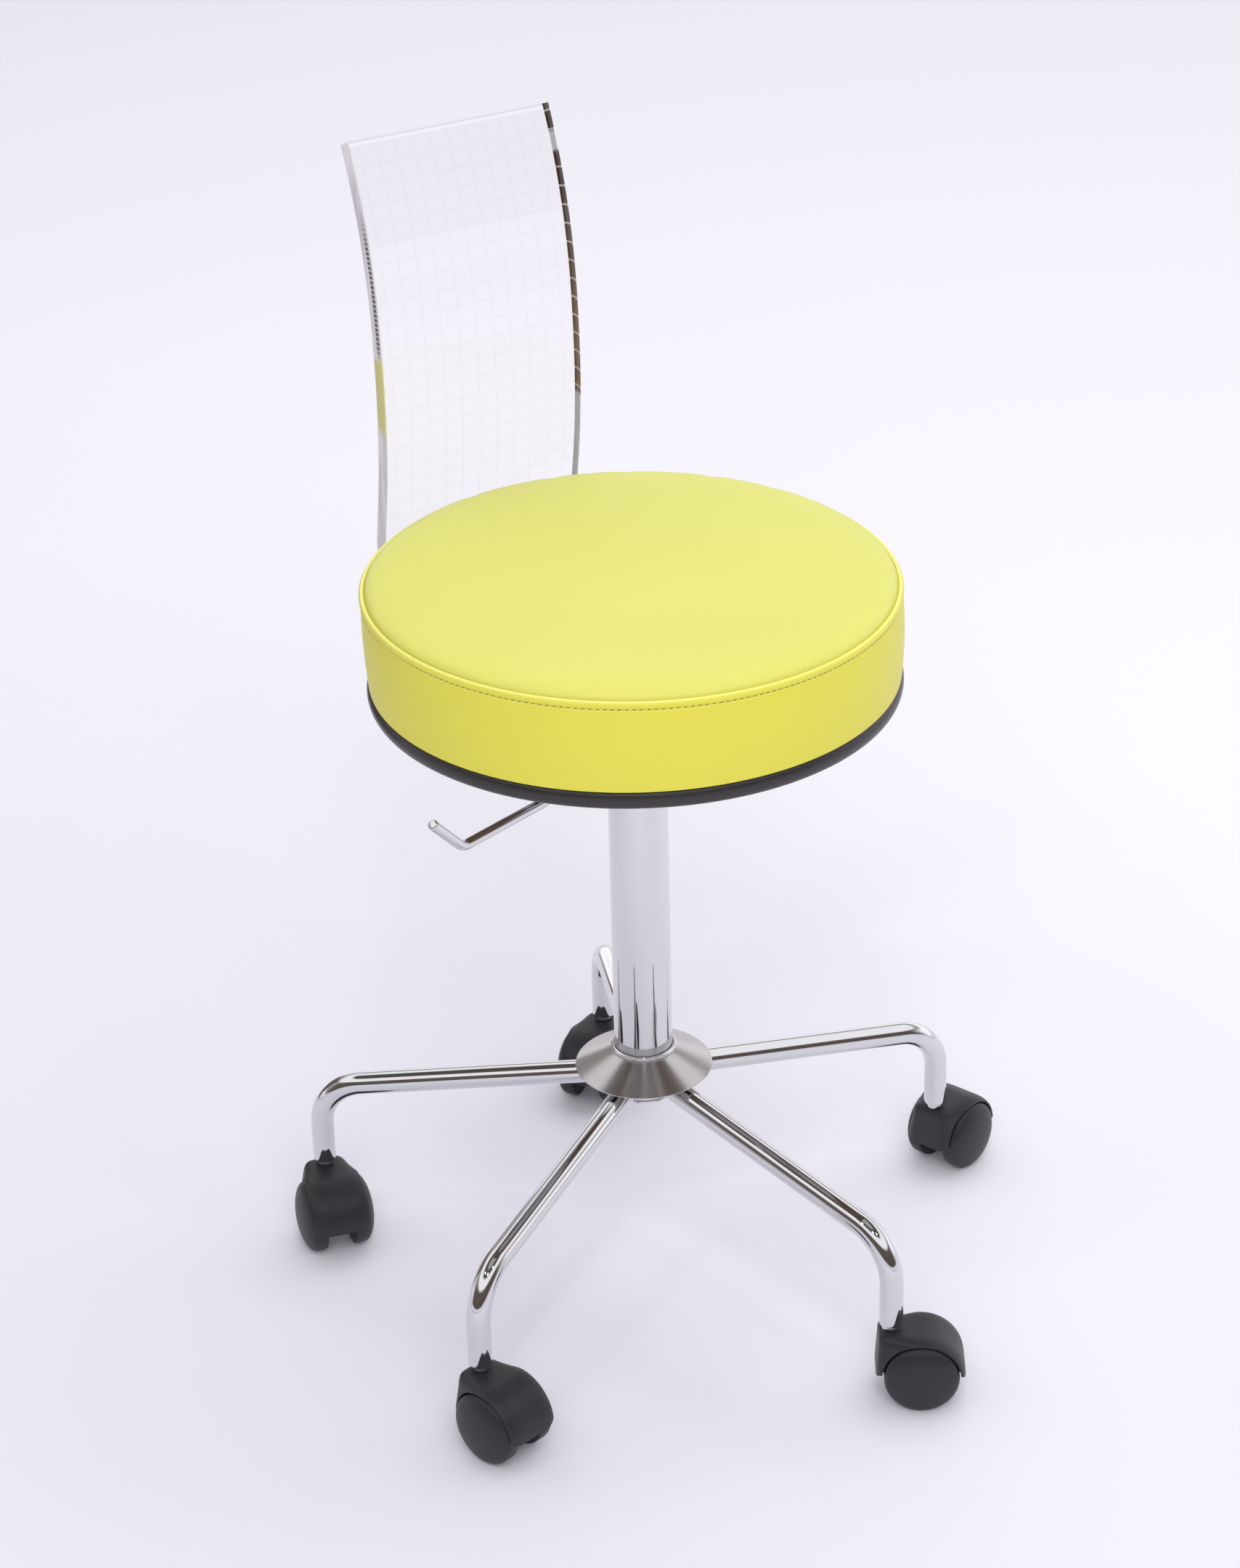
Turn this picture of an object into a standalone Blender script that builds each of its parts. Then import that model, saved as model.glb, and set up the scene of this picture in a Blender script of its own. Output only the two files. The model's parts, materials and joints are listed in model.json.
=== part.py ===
# Clinic stool on casters: padded round seat on a gas lift, clear lumbar sheet, five tube legs.
# Metres, +Z up, the sitter faces -Y. Heights below are above the floor; the finished model is
# lowered so that its origin is the centre of the hub's underside, on the column's axis.
import math

import bmesh
import bpy
from mathutils import Matrix, Vector

GAP = 0.0003                   # clearance between pieces that seat on each other

# Casters
WHEEL_RADIUS = 0.025
TREAD_WIDTH = 0.0075
TREAD_CHAMFER = 0.001
WHEEL_DOME = 0.0095            # bulge of a wheel's outer face past its tread
WHEEL_SPACING = 0.020          # between the inner faces of the two wheels
WHEEL_PLAY = 0.0006            # between a wheel and the web beside it
AXLE_RADIUS = 0.003
CASTER_TRAIL = 0.020           # stem axis to axle
HOOD_CLEARANCE = 0.0012
HOOD_WALL = 0.003
HOOD_WIDTH = 0.0386
HOOD_NOSE_WIDTH = 0.036        # width of the hood at its front
HOOD_NOSE_REACH = 0.0102       # stem axis to the hood's front
HOOD_NOSE_SLOPE = 0.06         # lean of the front, as run over rise
HOOD_RIM_WALL = 0.0012         # wall at the hood's side edges
HOOD_FLAT_SHARE = 0.36         # level middle of the hood, as a share of its width
HOOD_LIP_HEIGHT = 0.0235
AXLE_BOSS_RADIUS = 0.007
STEM_COLLAR_FLANGE = 0.0008    # collar past the stem
STEM_COLLAR_HEIGHT = 0.0028
STEM_INSERT = 0.022            # length of stem inside the leg
STEM_DEPTH = 0.020             # length of stem inside the hood
CASTER_HEADINGS = (-102.0, -74.0, -31.0, 21.0, -139.0)  # where each caster trails, degrees

# Legs
LEG_RADIUS = 0.008
LEG_WALL = 0.002
LEG_BEND = 0.035
LEG_DROOP = 8.73               # slope of the straight run, degrees
LEG_REACH = 0.232              # column axis to stem axis
LEG_HUB_HEIGHT = 0.1539        # where the legs' axes meet the column's axis
BASE_TURN = 139.85             # first leg's direction, degrees from +X

# Hub
HUB_DROP = 0.0154              # legs' meeting point down to the hub's underside
HUB_CAP_THICKNESS = 0.002
HUB_PLUG_HEIGHT = 0.0012
SLEEVE_WALL = 0.002
SLEEVE_LENGTH = 0.0192
COVER_RADIUS = 0.047
COVER_RISE = 0.0127
COVER_SHEET = 0.0012
COVER_LIFT = 0.003             # cover's rim above the tubes
COVER_BEAD_HEIGHT = 0.0034
COVER_BEAD_BULGE = 0.0017

# Gas lift
COLUMN_RADIUS = 0.020
COLUMN_WALL = 0.002
COLUMN_LENGTH = 0.230
FOOT_RECESS = 0.0055           # column's lower end to its inner foot
FOOT_THICKNESS = 0.004
BEARING_RADIUS = 0.012
BEARING_HEIGHT = 0.005
ROD_RADIUS = 0.005
ROD_COLLAR_RADIUS = 0.011
ROD_COLLAR_HEIGHT = 0.003
ROD_TAIL = 0.0035              # rod below the foot
CLIP_RADIUS = 0.008
CLIP_THICKNESS = 0.0022
CYLINDER_RADIUS = 0.014
CYLINDER_WALL = 0.002
CYLINDER_TAPER = 0.0008        # radius lost along the socket
LIFT_PLAY = 0.0024             # rod collar to cylinder at the lowest seat
GLAND_LENGTH = 0.010
STROKE = 0.130
PISTON_MARGIN = 0.020          # gland to piston at full stroke
PISTON_LENGTH = 0.012
BUSH_LENGTH = 0.080
BUSH_FLANGE = 0.0027
SOCKET_CLEARANCE = 0.003       # column to socket at the lowest seat

# Mechanism under the seat
SOCKET_LENGTH = 0.0445
SOCKET_WALL = 0.004
HOUSING_LENGTH = 0.110
HOUSING_WIDTH = 0.056
HOUSING_SHEET = 0.0025
CYLINDER_PROUD = 0.002         # cylinder above the housing's floor
BUTTON_RADIUS = 0.004
BUTTON_RISE = 0.008
BUTTON_DEPTH = 0.010
BUTTON_TRAVEL = 0.003
LEVER_RADIUS = 0.0035
LEVER_AZIMUTH = 198.8          # degrees from +X
LEVER_PIVOT = 0.030            # column axis to the lever's pin
LEVER_PAST_BUTTON = 0.006
LEVER_HEADROOM = 0.006
LEVER_CRANK_RUN = 0.028        # length over which the rod steps down
LEVER_DROP = 0.0389
LEVER_REACH = 0.167            # column axis to the upturn
LEVER_TIP_RUN = 0.025
LEVER_TIP_RISE = 0.026
LEVER_FILLET = 0.012
LEVER_BOSS_RADIUS = 0.006
LEVER_BOSS_WIDTH = 0.014
PIN_RADIUS = 0.0025
PIN_PROUD = 0.002
PLATE_SIZE = 0.140
PLATE_THICKNESS = 0.003
SCREW_INSET = 0.015            # plate edge to screw axis
SCREW_RADIUS = 0.003
SCREW_HEAD_RADIUS = 0.0055
SCREW_HEAD_HEIGHT = 0.004
SCREW_BITE = 0.009             # screw length inside the board

# Seat
SEAT_RADIUS = 0.175
BOARD_MARGIN = 0.007           # board inside the seat's edge
BOARD_THICKNESS = 0.012
TRIM_HEIGHT = 0.0105
CUSHION_SIDE = 0.062           # trim to seam
CUSHION_CROWN = 0.010
CUSHION_WAIST = 0.002          # how far the side band is drawn in
CUSHION_TUCK = 0.001           # band inside the trim's edge at the bottom
SEAM_LIP = 0.0015              # half height of the sewn edge

# Backrest sheet
BACK_WIDTH = 0.150
BACK_THICKNESS = 0.012
BACK_STANDOFF = 0.023          # seat's edge to the sheet's most forward line
BACK_WAIST_RISE = 0.1413       # board's underside up to that line
BACK_BEND = 0.030              # inside radius of the bend under the seat
BACK_LEAN = 10.0               # forward lean above the bend, degrees
BACK_LOWER_RADIUS = 0.460
BACK_MIDDLE_RADIUS = 0.680
BACK_MIDDLE_TILT = 4.5         # degrees
BACK_UPPER_RADIUS = 0.340
BACK_TOP_TILT = 25.5           # degrees
TONGUE_START = 0.092           # column axis to the tongue's inner end
CLAMP_THICKNESS = 0.003
CLAMP_MARGIN = 0.012           # clamp inside the tongue's edges
CLAMP_DEPTH = 0.064
CLAMP_SCREW_INSET = 0.014

# Sides of the round pieces
WHEEL_SIDES = 20
TUBE_SIDES = 12
PIN_SIDES = 12
HUB_SIDES = 24
LIFT_SIDES = 16
HOOD_SIDES = 20
HOOD_FAN = (-4, 8, 20, 32, 44, 56, 68, 79, 90, 102, 114, 124, 131, 137, 145, 155, 166, 177, 184)
HOOD_SHARES = (-1.0, -0.8, -0.6, -HOOD_FLAT_SHARE, HOOD_FLAT_SHARE, 0.6, 0.8, 1.0)
HOOD_NOSE_POWER = 16           # higher is a sharper corner between top and front
HOOD_TAPER_START = 90.0        # degrees round the axle between which the hood narrows to its nose
HOOD_TAPER_END = 140.0
SEAT_SIDES = 40

# Heights and radii that follow from the driving dimensions
AXLE_HEIGHT = WHEEL_RADIUS * math.cos(math.pi / WHEEL_SIDES)
WELL_RADIUS = WHEEL_RADIUS + HOOD_CLEARANCE
HOOD_RADIUS = WELL_RADIUS + HOOD_WALL
HOOD_RIM_RADIUS = WELL_RADIUS + HOOD_RIM_WALL
HOOD_TOP = AXLE_HEIGHT + HOOD_RADIUS
WHEEL_FACE = WHEEL_SPACING / 2 + TREAD_WIDTH
WEB_HALF_WIDTH = WHEEL_SPACING / 2 - WHEEL_PLAY
COLLAR_TOP = HOOD_TOP + GAP + STEM_COLLAR_HEIGHT
LEG_END = COLLAR_TOP + GAP
STEM_RADIUS = (LEG_RADIUS - LEG_WALL) * math.cos(math.pi / TUBE_SIDES) - GAP
HUB_UNDERSIDE = LEG_HUB_HEIGHT - HUB_DROP
COLUMN_BOTTOM = HUB_UNDERSIDE + HUB_CAP_THICKNESS + GAP
COLUMN_TOP = COLUMN_BOTTOM + COLUMN_LENGTH
COLUMN_BORE = COLUMN_RADIUS - COLUMN_WALL
SLEEVE_RADIUS = COLUMN_RADIUS + GAP + SLEEVE_WALL
FOOT_BOTTOM = COLUMN_BOTTOM + FOOT_RECESS
FOOT_TOP = FOOT_BOTTOM + FOOT_THICKNESS
BEARING_BOTTOM = FOOT_TOP + GAP
ROD_COLLAR_BOTTOM = BEARING_BOTTOM + BEARING_HEIGHT + GAP
CYLINDER_BOTTOM = ROD_COLLAR_BOTTOM + ROD_COLLAR_HEIGHT + LIFT_PLAY
PISTON_BOTTOM = CYLINDER_BOTTOM + GLAND_LENGTH + STROKE + PISTON_MARGIN
BUSH_TOP = COLUMN_TOP + GAP + BUSH_FLANGE
SOCKET_BOTTOM = BUSH_TOP + SOCKET_CLEARANCE
SOCKET_TOP = SOCKET_BOTTOM + SOCKET_LENGTH
HOUSING_BOTTOM = SOCKET_TOP + GAP
CYLINDER_TOP = HOUSING_BOTTOM + HOUSING_SHEET + CYLINDER_PROUD
BUTTON_TOP = CYLINDER_TOP + BUTTON_RISE
LEVER_HEIGHT = BUTTON_TOP + GAP + LEVER_RADIUS
PLATE_BOTTOM = LEVER_HEIGHT + LEVER_RADIUS + LEVER_HEADROOM
PLATE_TOP = PLATE_BOTTOM + PLATE_THICKNESS
BOARD_BOTTOM = PLATE_TOP + GAP
BOARD_TOP = BOARD_BOTTOM + BOARD_THICKNESS
BOARD_RADIUS = SEAT_RADIUS - BOARD_MARGIN
TRIM_TOP = BOARD_BOTTOM + TRIM_HEIGHT
SEAM_HEIGHT = TRIM_TOP + GAP + CUSHION_SIDE
TONGUE_TOP = BOARD_BOTTOM - GAP
TONGUE_BOTTOM = TONGUE_TOP - BACK_THICKNESS

SIDE_ON = Matrix(((0, 0, 1, 0), (1, 0, 0, 0), (0, 1, 0, 0), (0, 0, 0, 1)))  # outline to Y and Z
ALONG_Y = Matrix.Rotation(math.radians(-90), 4, "X")                         # turned axis to +Y

for old in list(bpy.data.objects):
    bpy.data.objects.remove(old)
parts = bpy.data.collections.new("clinic_stool")
cutters = bpy.data.collections.new("cutters")
bpy.context.scene.collection.children.link(parts)
bpy.context.scene.collection.children.link(cutters)


def finish(name, colour, roughness, metallic=0.0, alpha=1.0):
    """A plain finish with the piece's colour, roughness and metallic value."""
    material = bpy.data.materials.new(name)
    material.use_nodes = True
    shader = material.node_tree.nodes["Principled BSDF"]
    shader.inputs["Base Color"].default_value = (*colour, 1.0)
    shader.inputs["Roughness"].default_value = roughness
    shader.inputs["Metallic"].default_value = metallic
    shader.inputs["Alpha"].default_value = alpha
    return material


CHROME = finish("chrome", (0.80, 0.80, 0.82), 0.08, 1.0)
SATIN_CHROME = finish("satin_chrome", (0.72, 0.71, 0.70), 0.22, 1.0)
STEEL = finish("steel", (0.42, 0.43, 0.45), 0.40, 1.0)
BLACK_PLASTIC = finish("black_plastic", (0.030, 0.028, 0.032), 0.55)
BLACK_TRIM = finish("black_trim", (0.018, 0.018, 0.020), 0.42)
LIME_VINYL = finish("lime_vinyl", (0.66, 0.65, 0.10), 0.45)
PLYWOOD = finish("plywood", (0.52, 0.36, 0.20), 0.65)
CLEAR_SHEET = finish("clear_sheet", (0.93, 0.93, 0.95), 0.05, 0.0, 0.35)


def frame(name, parent=None, location=(0, 0, 0), turn=0.0):
    """Empty that carries other pieces; turn is in degrees about Z."""
    empty = bpy.data.objects.new(name, None)
    empty.location = location
    empty.rotation_euler = (0, 0, math.radians(turn))
    empty.parent = parent
    parts.objects.link(empty)
    return empty


def piece(name, mesh, material, parent, location=(0, 0, 0), turn=0.0):
    """Named sub-part placed in its parent's frame, with round faces shaded smooth."""
    if not mesh.materials:
        mesh.materials.append(material)
        mesh.shade_smooth()
        mesh.set_sharp_from_angle(angle=math.radians(35))
    obj = bpy.data.objects.new(name, mesh)
    obj.location = location
    obj.rotation_euler = (0, 0, math.radians(turn))
    obj.parent = parent
    parts.objects.link(obj)
    return obj


def evaluated_mesh(obj):
    """The object's mesh with its modifiers, or its curve's surface, with loose caps welded."""
    bpy.context.view_layer.update()
    graph = bpy.context.evaluated_depsgraph_get()
    mesh = bpy.data.meshes.new_from_object(obj.evaluated_get(graph))
    mesh.materials.clear()
    bm = bmesh.new()
    bm.from_mesh(mesh)
    bmesh.ops.remove_doubles(bm, verts=bm.verts, dist=1e-6)
    bmesh.ops.recalc_face_normals(bm, faces=bm.faces)
    bm.to_mesh(mesh)
    bm.free()
    bpy.data.objects.remove(obj)
    return mesh


def helper(name, data):
    """Object that only serves to shape others, kept out of the finished model."""
    obj = bpy.data.objects.new(name, data)
    obj.hide_render = True
    obj.display_type = "WIRE"
    cutters.objects.link(obj)
    return obj


def turned(name, profile, sides, ring=False):
    """Mesh turned about Z from (radius, height) points that run down the outer side."""
    half_step = math.pi / sides
    points = [(r * math.cos(half_step), r * math.sin(half_step), z) for r, z in profile]
    edges = [(i, i + 1) for i in range(len(points) - 1)]
    if ring:
        edges.append((len(points) - 1, 0))
    mesh = bpy.data.meshes.new(name)
    mesh.from_pydata(points, edges, [])
    obj = helper(name, mesh)
    screw = obj.modifiers.new("turn", "SCREW")
    screw.steps = sides
    screw.render_steps = sides
    screw.use_merge_vertices = True
    screw.merge_threshold = 1e-6
    return evaluated_mesh(obj)


def rod(name, radius, low, high, sides=PIN_SIDES):
    """Round bar about Z between two heights."""
    return turned(name, [(0, high), (radius, high), (radius, low), (0, low)], sides)


def box(name, low, high):
    """Rectangular block between two corners."""
    bm = bmesh.new()
    bmesh.ops.create_cube(bm, size=1.0)
    size = Vector(high) - Vector(low)
    middle = (Vector(high) + Vector(low)) / 2
    bmesh.ops.scale(bm, vec=size, verts=bm.verts)
    bmesh.ops.translate(bm, vec=middle, verts=bm.verts)
    mesh = bpy.data.meshes.new(name)
    bm.to_mesh(mesh)
    bm.free()
    return mesh


def bent_rod(name, path, radius, wall=0.0):
    """Round rod along a path, or an open tube where a wall is given."""
    curve = bpy.data.curves.new(name, "CURVE")
    curve.dimensions = "3D"
    spline = curve.splines.new("POLY")
    spline.points.add(len(path) - 1)
    for point, place in zip(spline.points, path):
        point.co = (*place, 1.0)
    curve.bevel_depth = radius
    curve.bevel_resolution = (TUBE_SIDES - 4) // 2
    curve.use_fill_caps = wall == 0.0
    mesh = evaluated_mesh(helper(name, curve))
    if wall == 0.0:
        return mesh
    obj = helper(name, mesh)
    solidify = obj.modifiers.new("wall", "SOLIDIFY")
    solidify.thickness = wall
    solidify.offset = -1.0
    return evaluated_mesh(obj)


def extruded(name, outline, half_depth):
    """Flat outline in Y and Z, thickened to both sides along X."""
    curve = bpy.data.curves.new(name, "CURVE")
    curve.dimensions = "2D"
    curve.fill_mode = "BOTH"
    curve.extrude = half_depth
    spline = curve.splines.new("POLY")
    spline.points.add(len(outline) - 1)
    spline.use_cyclic_u = True
    for point, (y, z) in zip(spline.points, outline):
        point.co = (y, z, 0.0, 1.0)
    mesh = evaluated_mesh(helper(name, curve))
    mesh.transform(SIDE_ON)
    return mesh


def carved(mesh, cuts, joins=()):
    """The mesh with others joined to it and then others cut from it."""
    obj = helper(mesh.name, mesh)
    for other, operation in [(m, "UNION") for m in joins] + [(m, "DIFFERENCE") for m in cuts]:
        boolean = obj.modifiers.new(operation.lower(), "BOOLEAN")
        boolean.operation = operation
        boolean.object = helper(other.name, other)
    return evaluated_mesh(obj)


def moved(mesh, location=(0, 0, 0), rotation=Matrix()):
    """The mesh turned and then shifted."""
    mesh.transform(Matrix.Translation(location) @ rotation)
    return mesh


def arc(centre, radius, start, end, steps):
    """Points of a circular arc; angles in radians, both ends included."""
    angles = [start + (end - start) * i / steps for i in range(steps + 1)]
    return [(centre[0] + radius * math.cos(a), centre[1] + radius * math.sin(a)) for a in angles]


def filleted(corners, radius, steps):
    """Path through 3D corners with each inner corner rounded to the radius."""
    path = [Vector(corners[0])]
    for before, corner, after in zip(corners, corners[1:], corners[2:]):
        into = (Vector(corner) - Vector(before)).normalized()
        out = (Vector(after) - Vector(corner)).normalized()
        angle = into.angle(out)
        start = Vector(corner) - into * radius * math.tan(angle / 2)
        inward = (out - into * into.dot(out)).normalized()
        for i in range(steps + 1):
            a = angle * i / steps
            path.append(start + into * radius * math.sin(a) + inward * radius * (1 - math.cos(a)))
    path.append(Vector(corners[-1]))
    return path


def screw_mesh(name, head_bottom, tip):
    """Pan-head screw about Z, head down."""
    head_top = head_bottom + SCREW_HEAD_HEIGHT
    profile = [(0, tip), (SCREW_RADIUS, tip), (SCREW_RADIUS, head_top), (SCREW_HEAD_RADIUS, head_top),
               (SCREW_HEAD_RADIUS, head_bottom), (0, head_bottom)]
    return turned(name, profile, PIN_SIDES)


def screw_hole(name, low, high, place):
    """Cutter for a screw's shank at a place in plan."""
    hole = rod(name, SCREW_RADIUS + GAP, low, high)
    return moved(hole, (place[0], place[1], 0))


# Casters
def domed_profile(radius, depth, inner, steps):
    """Half section of a wheel-shaped body: rounded outer face above, plain edge down to its inner face."""
    angles = [math.pi / 2 * (1 - i / steps) for i in range(steps + 1)]
    dome = [(radius * math.cos(a), WHEEL_FACE + depth * math.sin(a)) for a in angles]
    return dome + [(radius, inner)]


def hood_ridge(angle):
    """Axle to the hood's middle line: round behind the axle, then a level top and a sloping front."""
    if angle <= math.pi / 2:
        return HOOD_RADIUS
    over = HOOD_RADIUS / max(math.sin(angle), 0.02)
    front = (CASTER_TRAIL + HOOD_NOSE_REACH) / (HOOD_NOSE_SLOPE * math.sin(angle) - math.cos(angle))
    if front <= 0:
        return over
    return (over ** -HOOD_NOSE_POWER + front ** -HOOD_NOSE_POWER) ** (-1 / HOOD_NOSE_POWER)


def hood_form():
    """Outer form of the hood: hull of sections fanned round the axle, falling from ridge to rim."""
    bm = bmesh.new()
    for degrees in HOOD_FAN:
        angle = math.radians(degrees)
        ridge = hood_ridge(angle)
        ahead = min(1.0, max(0.0, (degrees - HOOD_TAPER_START) / (HOOD_TAPER_END - HOOD_TAPER_START)))
        half = (HOOD_WIDTH + (HOOD_NOSE_WIDTH - HOOD_WIDTH) * ahead) / 2
        for share in HOOD_SHARES:
            past = max(0.0, (abs(share) - HOOD_FLAT_SHARE) / (1 - HOOD_FLAT_SHARE))
            radius = ridge + (HOOD_RIM_RADIUS - ridge) * past ** 2
            height = max(AXLE_HEIGHT + radius * math.sin(angle), HOOD_LIP_HEIGHT)
            bm.verts.new((CASTER_TRAIL + radius * math.cos(angle), half * share, height))
    hull = bmesh.ops.convex_hull(bm, input=bm.verts)
    inside = [v for v in hull["geom_interior"] if isinstance(v, bmesh.types.BMVert)]
    bmesh.ops.delete(bm, geom=inside, context="VERTS")
    bmesh.ops.dissolve_limit(bm, angle_limit=math.radians(0.5), verts=bm.verts, edges=bm.edges)
    mesh = bpy.data.meshes.new("caster_hood")
    bm.to_mesh(mesh)
    bm.free()
    return mesh


def hood_mesh():
    """Hood over both wheels, with the web between them that takes stem and axle."""
    half = HOOD_WIDTH / 2
    cuts = []
    well_radius, well_depth = WHEEL_RADIUS + HOOD_CLEARANCE, WHEEL_DOME + HOOD_CLEARANCE
    profile = domed_profile(well_radius, well_depth, WEB_HALF_WIDTH, 4) + [(0, WEB_HALF_WIDTH)]
    for turn in (0, math.pi):
        well = turned("wheel_well", profile, HOOD_SIDES)
        around = Matrix.Rotation(turn, 4, "Z") @ ALONG_Y
        cuts.append(moved(well, (CASTER_TRAIL, 0, AXLE_HEIGHT), around))
    axle_hole = rod("axle_hole", AXLE_RADIUS + GAP, -half, half)
    cuts.append(moved(axle_hole, (CASTER_TRAIL, 0, AXLE_HEIGHT), ALONG_Y))
    cuts.append(rod("stem_hole", STEM_RADIUS + GAP, HOOD_TOP - STEM_DEPTH - GAP, HOOD_TOP + HOOD_WALL))
    boss = rod("boss", AXLE_BOSS_RADIUS, -WEB_HALF_WIDTH, WEB_HALF_WIDTH)
    moved(boss, (CASTER_TRAIL, 0, AXLE_HEIGHT), ALONG_Y)
    return carved(hood_form(), cuts, [boss])


def stem_mesh():
    """Stem with the collar that the leg stands on."""
    flange = STEM_RADIUS + STEM_COLLAR_FLANGE
    top, bottom = COLLAR_TOP + STEM_INSERT, HOOD_TOP - STEM_DEPTH
    profile = [(0, top), (STEM_RADIUS, top), (STEM_RADIUS, COLLAR_TOP), (flange, COLLAR_TOP),
               (flange, HOOD_TOP + GAP), (STEM_RADIUS, HOOD_TOP + GAP), (STEM_RADIUS, bottom), (0, bottom)]
    return turned("caster_stem", profile, PIN_SIDES)


def wheel_mesh():
    """Wheel about +Y, its axle's centre at the origin: tread, domed face and blind bore."""
    inner = WHEEL_SPACING / 2
    bore, bore_end = AXLE_RADIUS + GAP, WHEEL_FACE + GAP
    tread = domed_profile(WHEEL_RADIUS, WHEEL_DOME, inner + TREAD_CHAMFER, 4)
    hollow = [(WHEEL_RADIUS - TREAD_CHAMFER, inner), (bore, inner), (bore, bore_end), (0, bore_end)]
    return moved(turned("wheel", tread + hollow, WHEEL_SIDES), rotation=ALONG_Y)


def axle_mesh():
    """Axle about Y, ending inside both wheels."""
    return moved(rod("caster_axle", AXLE_RADIUS, -WHEEL_FACE, WHEEL_FACE), rotation=ALONG_Y)


# Legs
def leg_height(reach):
    """Height of a leg's axis on its straight run."""
    return LEG_HUB_HEIGHT - reach * math.tan(math.radians(LEG_DROOP))


def leg_mesh():
    """Bent tube from the sleeve out and down to the caster, coped where it meets the sleeve."""
    inner = (SLEEVE_RADIUS + GAP) / 2
    corners = [(inner, 0, leg_height(inner)), (LEG_REACH, 0, leg_height(LEG_REACH)), (LEG_REACH, 0, LEG_END)]
    tube = bent_rod("leg", filleted(corners, LEG_BEND, 6), LEG_RADIUS, LEG_WALL)
    low, high = HUB_UNDERSIDE - LEG_RADIUS, LEG_HUB_HEIGHT + 2 * LEG_RADIUS
    cope = rod("cope", SLEEVE_RADIUS + GAP, low, high, HUB_SIDES)
    return carved(tube, [cope])


# Hub and column
def hub_cap_mesh():
    """Plug that closes the sleeve and the column from below; its underside is the origin."""
    flange_top = HUB_UNDERSIDE + HUB_CAP_THICKNESS
    plug = COLUMN_BORE - GAP
    plug_top = flange_top + HUB_PLUG_HEIGHT
    profile = [(0, plug_top), (plug, plug_top), (plug, flange_top), (SLEEVE_RADIUS, flange_top),
               (SLEEVE_RADIUS, HUB_UNDERSIDE), (0, HUB_UNDERSIDE)]
    return turned("hub_cap", profile, HUB_SIDES)


def sleeve_mesh():
    """Hub tube that the legs are welded to."""
    top, bore = COLUMN_BOTTOM + SLEEVE_LENGTH, COLUMN_RADIUS + GAP
    profile = [(bore, top), (SLEEVE_RADIUS, top), (SLEEVE_RADIUS, COLUMN_BOTTOM), (bore, COLUMN_BOTTOM)]
    return turned("hub_sleeve", profile, HUB_SIDES, ring=True)


def cover_mesh():
    """Pressed cone over the legs' inner ends, with a bead round the column and a lip at the rim."""
    bore = COLUMN_RADIUS + GAP
    rim = leg_height(COVER_RADIUS) + LEG_RADIUS / math.cos(math.radians(LEG_DROOP)) + COVER_LIFT + COVER_SHEET
    neck = rim + COVER_RISE
    top = neck + COVER_BEAD_HEIGHT
    middle = (bore + COVER_SHEET / 2, (neck + top) / 2)
    bead = arc(middle, COVER_BEAD_HEIGHT / 2, math.pi / 2, -math.pi / 2, 4)
    bulge = [(bore + (r - bore) * COVER_BEAD_BULGE / (COVER_BEAD_HEIGHT / 2), z) for r, z in bead]
    outer = bulge + [(COVER_RADIUS - COVER_SHEET / 2, rim), (COVER_RADIUS, rim - COVER_SHEET / 2)]
    inner = [(COVER_RADIUS, rim - COVER_SHEET), (COVER_RADIUS - COVER_SHEET, rim - COVER_SHEET),
             (bore + COVER_SHEET, neck - COVER_SHEET), (bore, neck - COVER_SHEET)]
    return turned("hub_cover", [(bore, top)] + outer + inner, HUB_SIDES, ring=True)


def column_mesh():
    """Outer tube of the gas lift, with the foot inside it that the rod stands on."""
    hole = ROD_RADIUS + GAP
    profile = [(COLUMN_BORE, COLUMN_TOP), (COLUMN_RADIUS, COLUMN_TOP), (COLUMN_RADIUS, COLUMN_BOTTOM),
               (COLUMN_BORE, COLUMN_BOTTOM), (COLUMN_BORE, FOOT_BOTTOM), (hole, FOOT_BOTTOM),
               (hole, FOOT_TOP), (COLUMN_BORE, FOOT_TOP)]
    return turned("column_tube", profile, HUB_SIDES, ring=True)


def bush_mesh():
    """Guide for the cylinder in the column's upper end, flanged on top."""
    bore = CYLINDER_RADIUS + GAP
    outer, flange = COLUMN_BORE - GAP, COLUMN_RADIUS - GAP
    low, seat = COLUMN_TOP - BUSH_LENGTH, COLUMN_TOP + GAP
    profile = [(bore, BUSH_TOP), (flange, BUSH_TOP), (flange, seat), (outer, seat), (outer, low), (bore, low)]
    return turned("guide_bush", profile, HUB_SIDES, ring=True)


def washer_mesh(name, bore, radius, low, thickness):
    """Flat ring about Z."""
    high = low + thickness
    return turned(name, [(bore, high), (radius, high), (radius, low), (bore, low)], LIFT_SIDES, ring=True)


def piston_rod_mesh():
    """Rod that stands on the foot, with its collar and the piston at its upper end."""
    collar_top = ROD_COLLAR_BOTTOM + ROD_COLLAR_HEIGHT
    piston, piston_top = CYLINDER_RADIUS - CYLINDER_WALL - GAP, PISTON_BOTTOM + PISTON_LENGTH
    tail = FOOT_BOTTOM - ROD_TAIL
    profile = [(0, piston_top), (piston, piston_top), (piston, PISTON_BOTTOM), (ROD_RADIUS, PISTON_BOTTOM),
               (ROD_RADIUS, collar_top), (ROD_COLLAR_RADIUS, collar_top),
               (ROD_COLLAR_RADIUS, ROD_COLLAR_BOTTOM), (ROD_RADIUS, ROD_COLLAR_BOTTOM),
               (ROD_RADIUS, tail), (0, tail)]
    return turned("piston_rod", profile, LIFT_SIDES)


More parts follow.
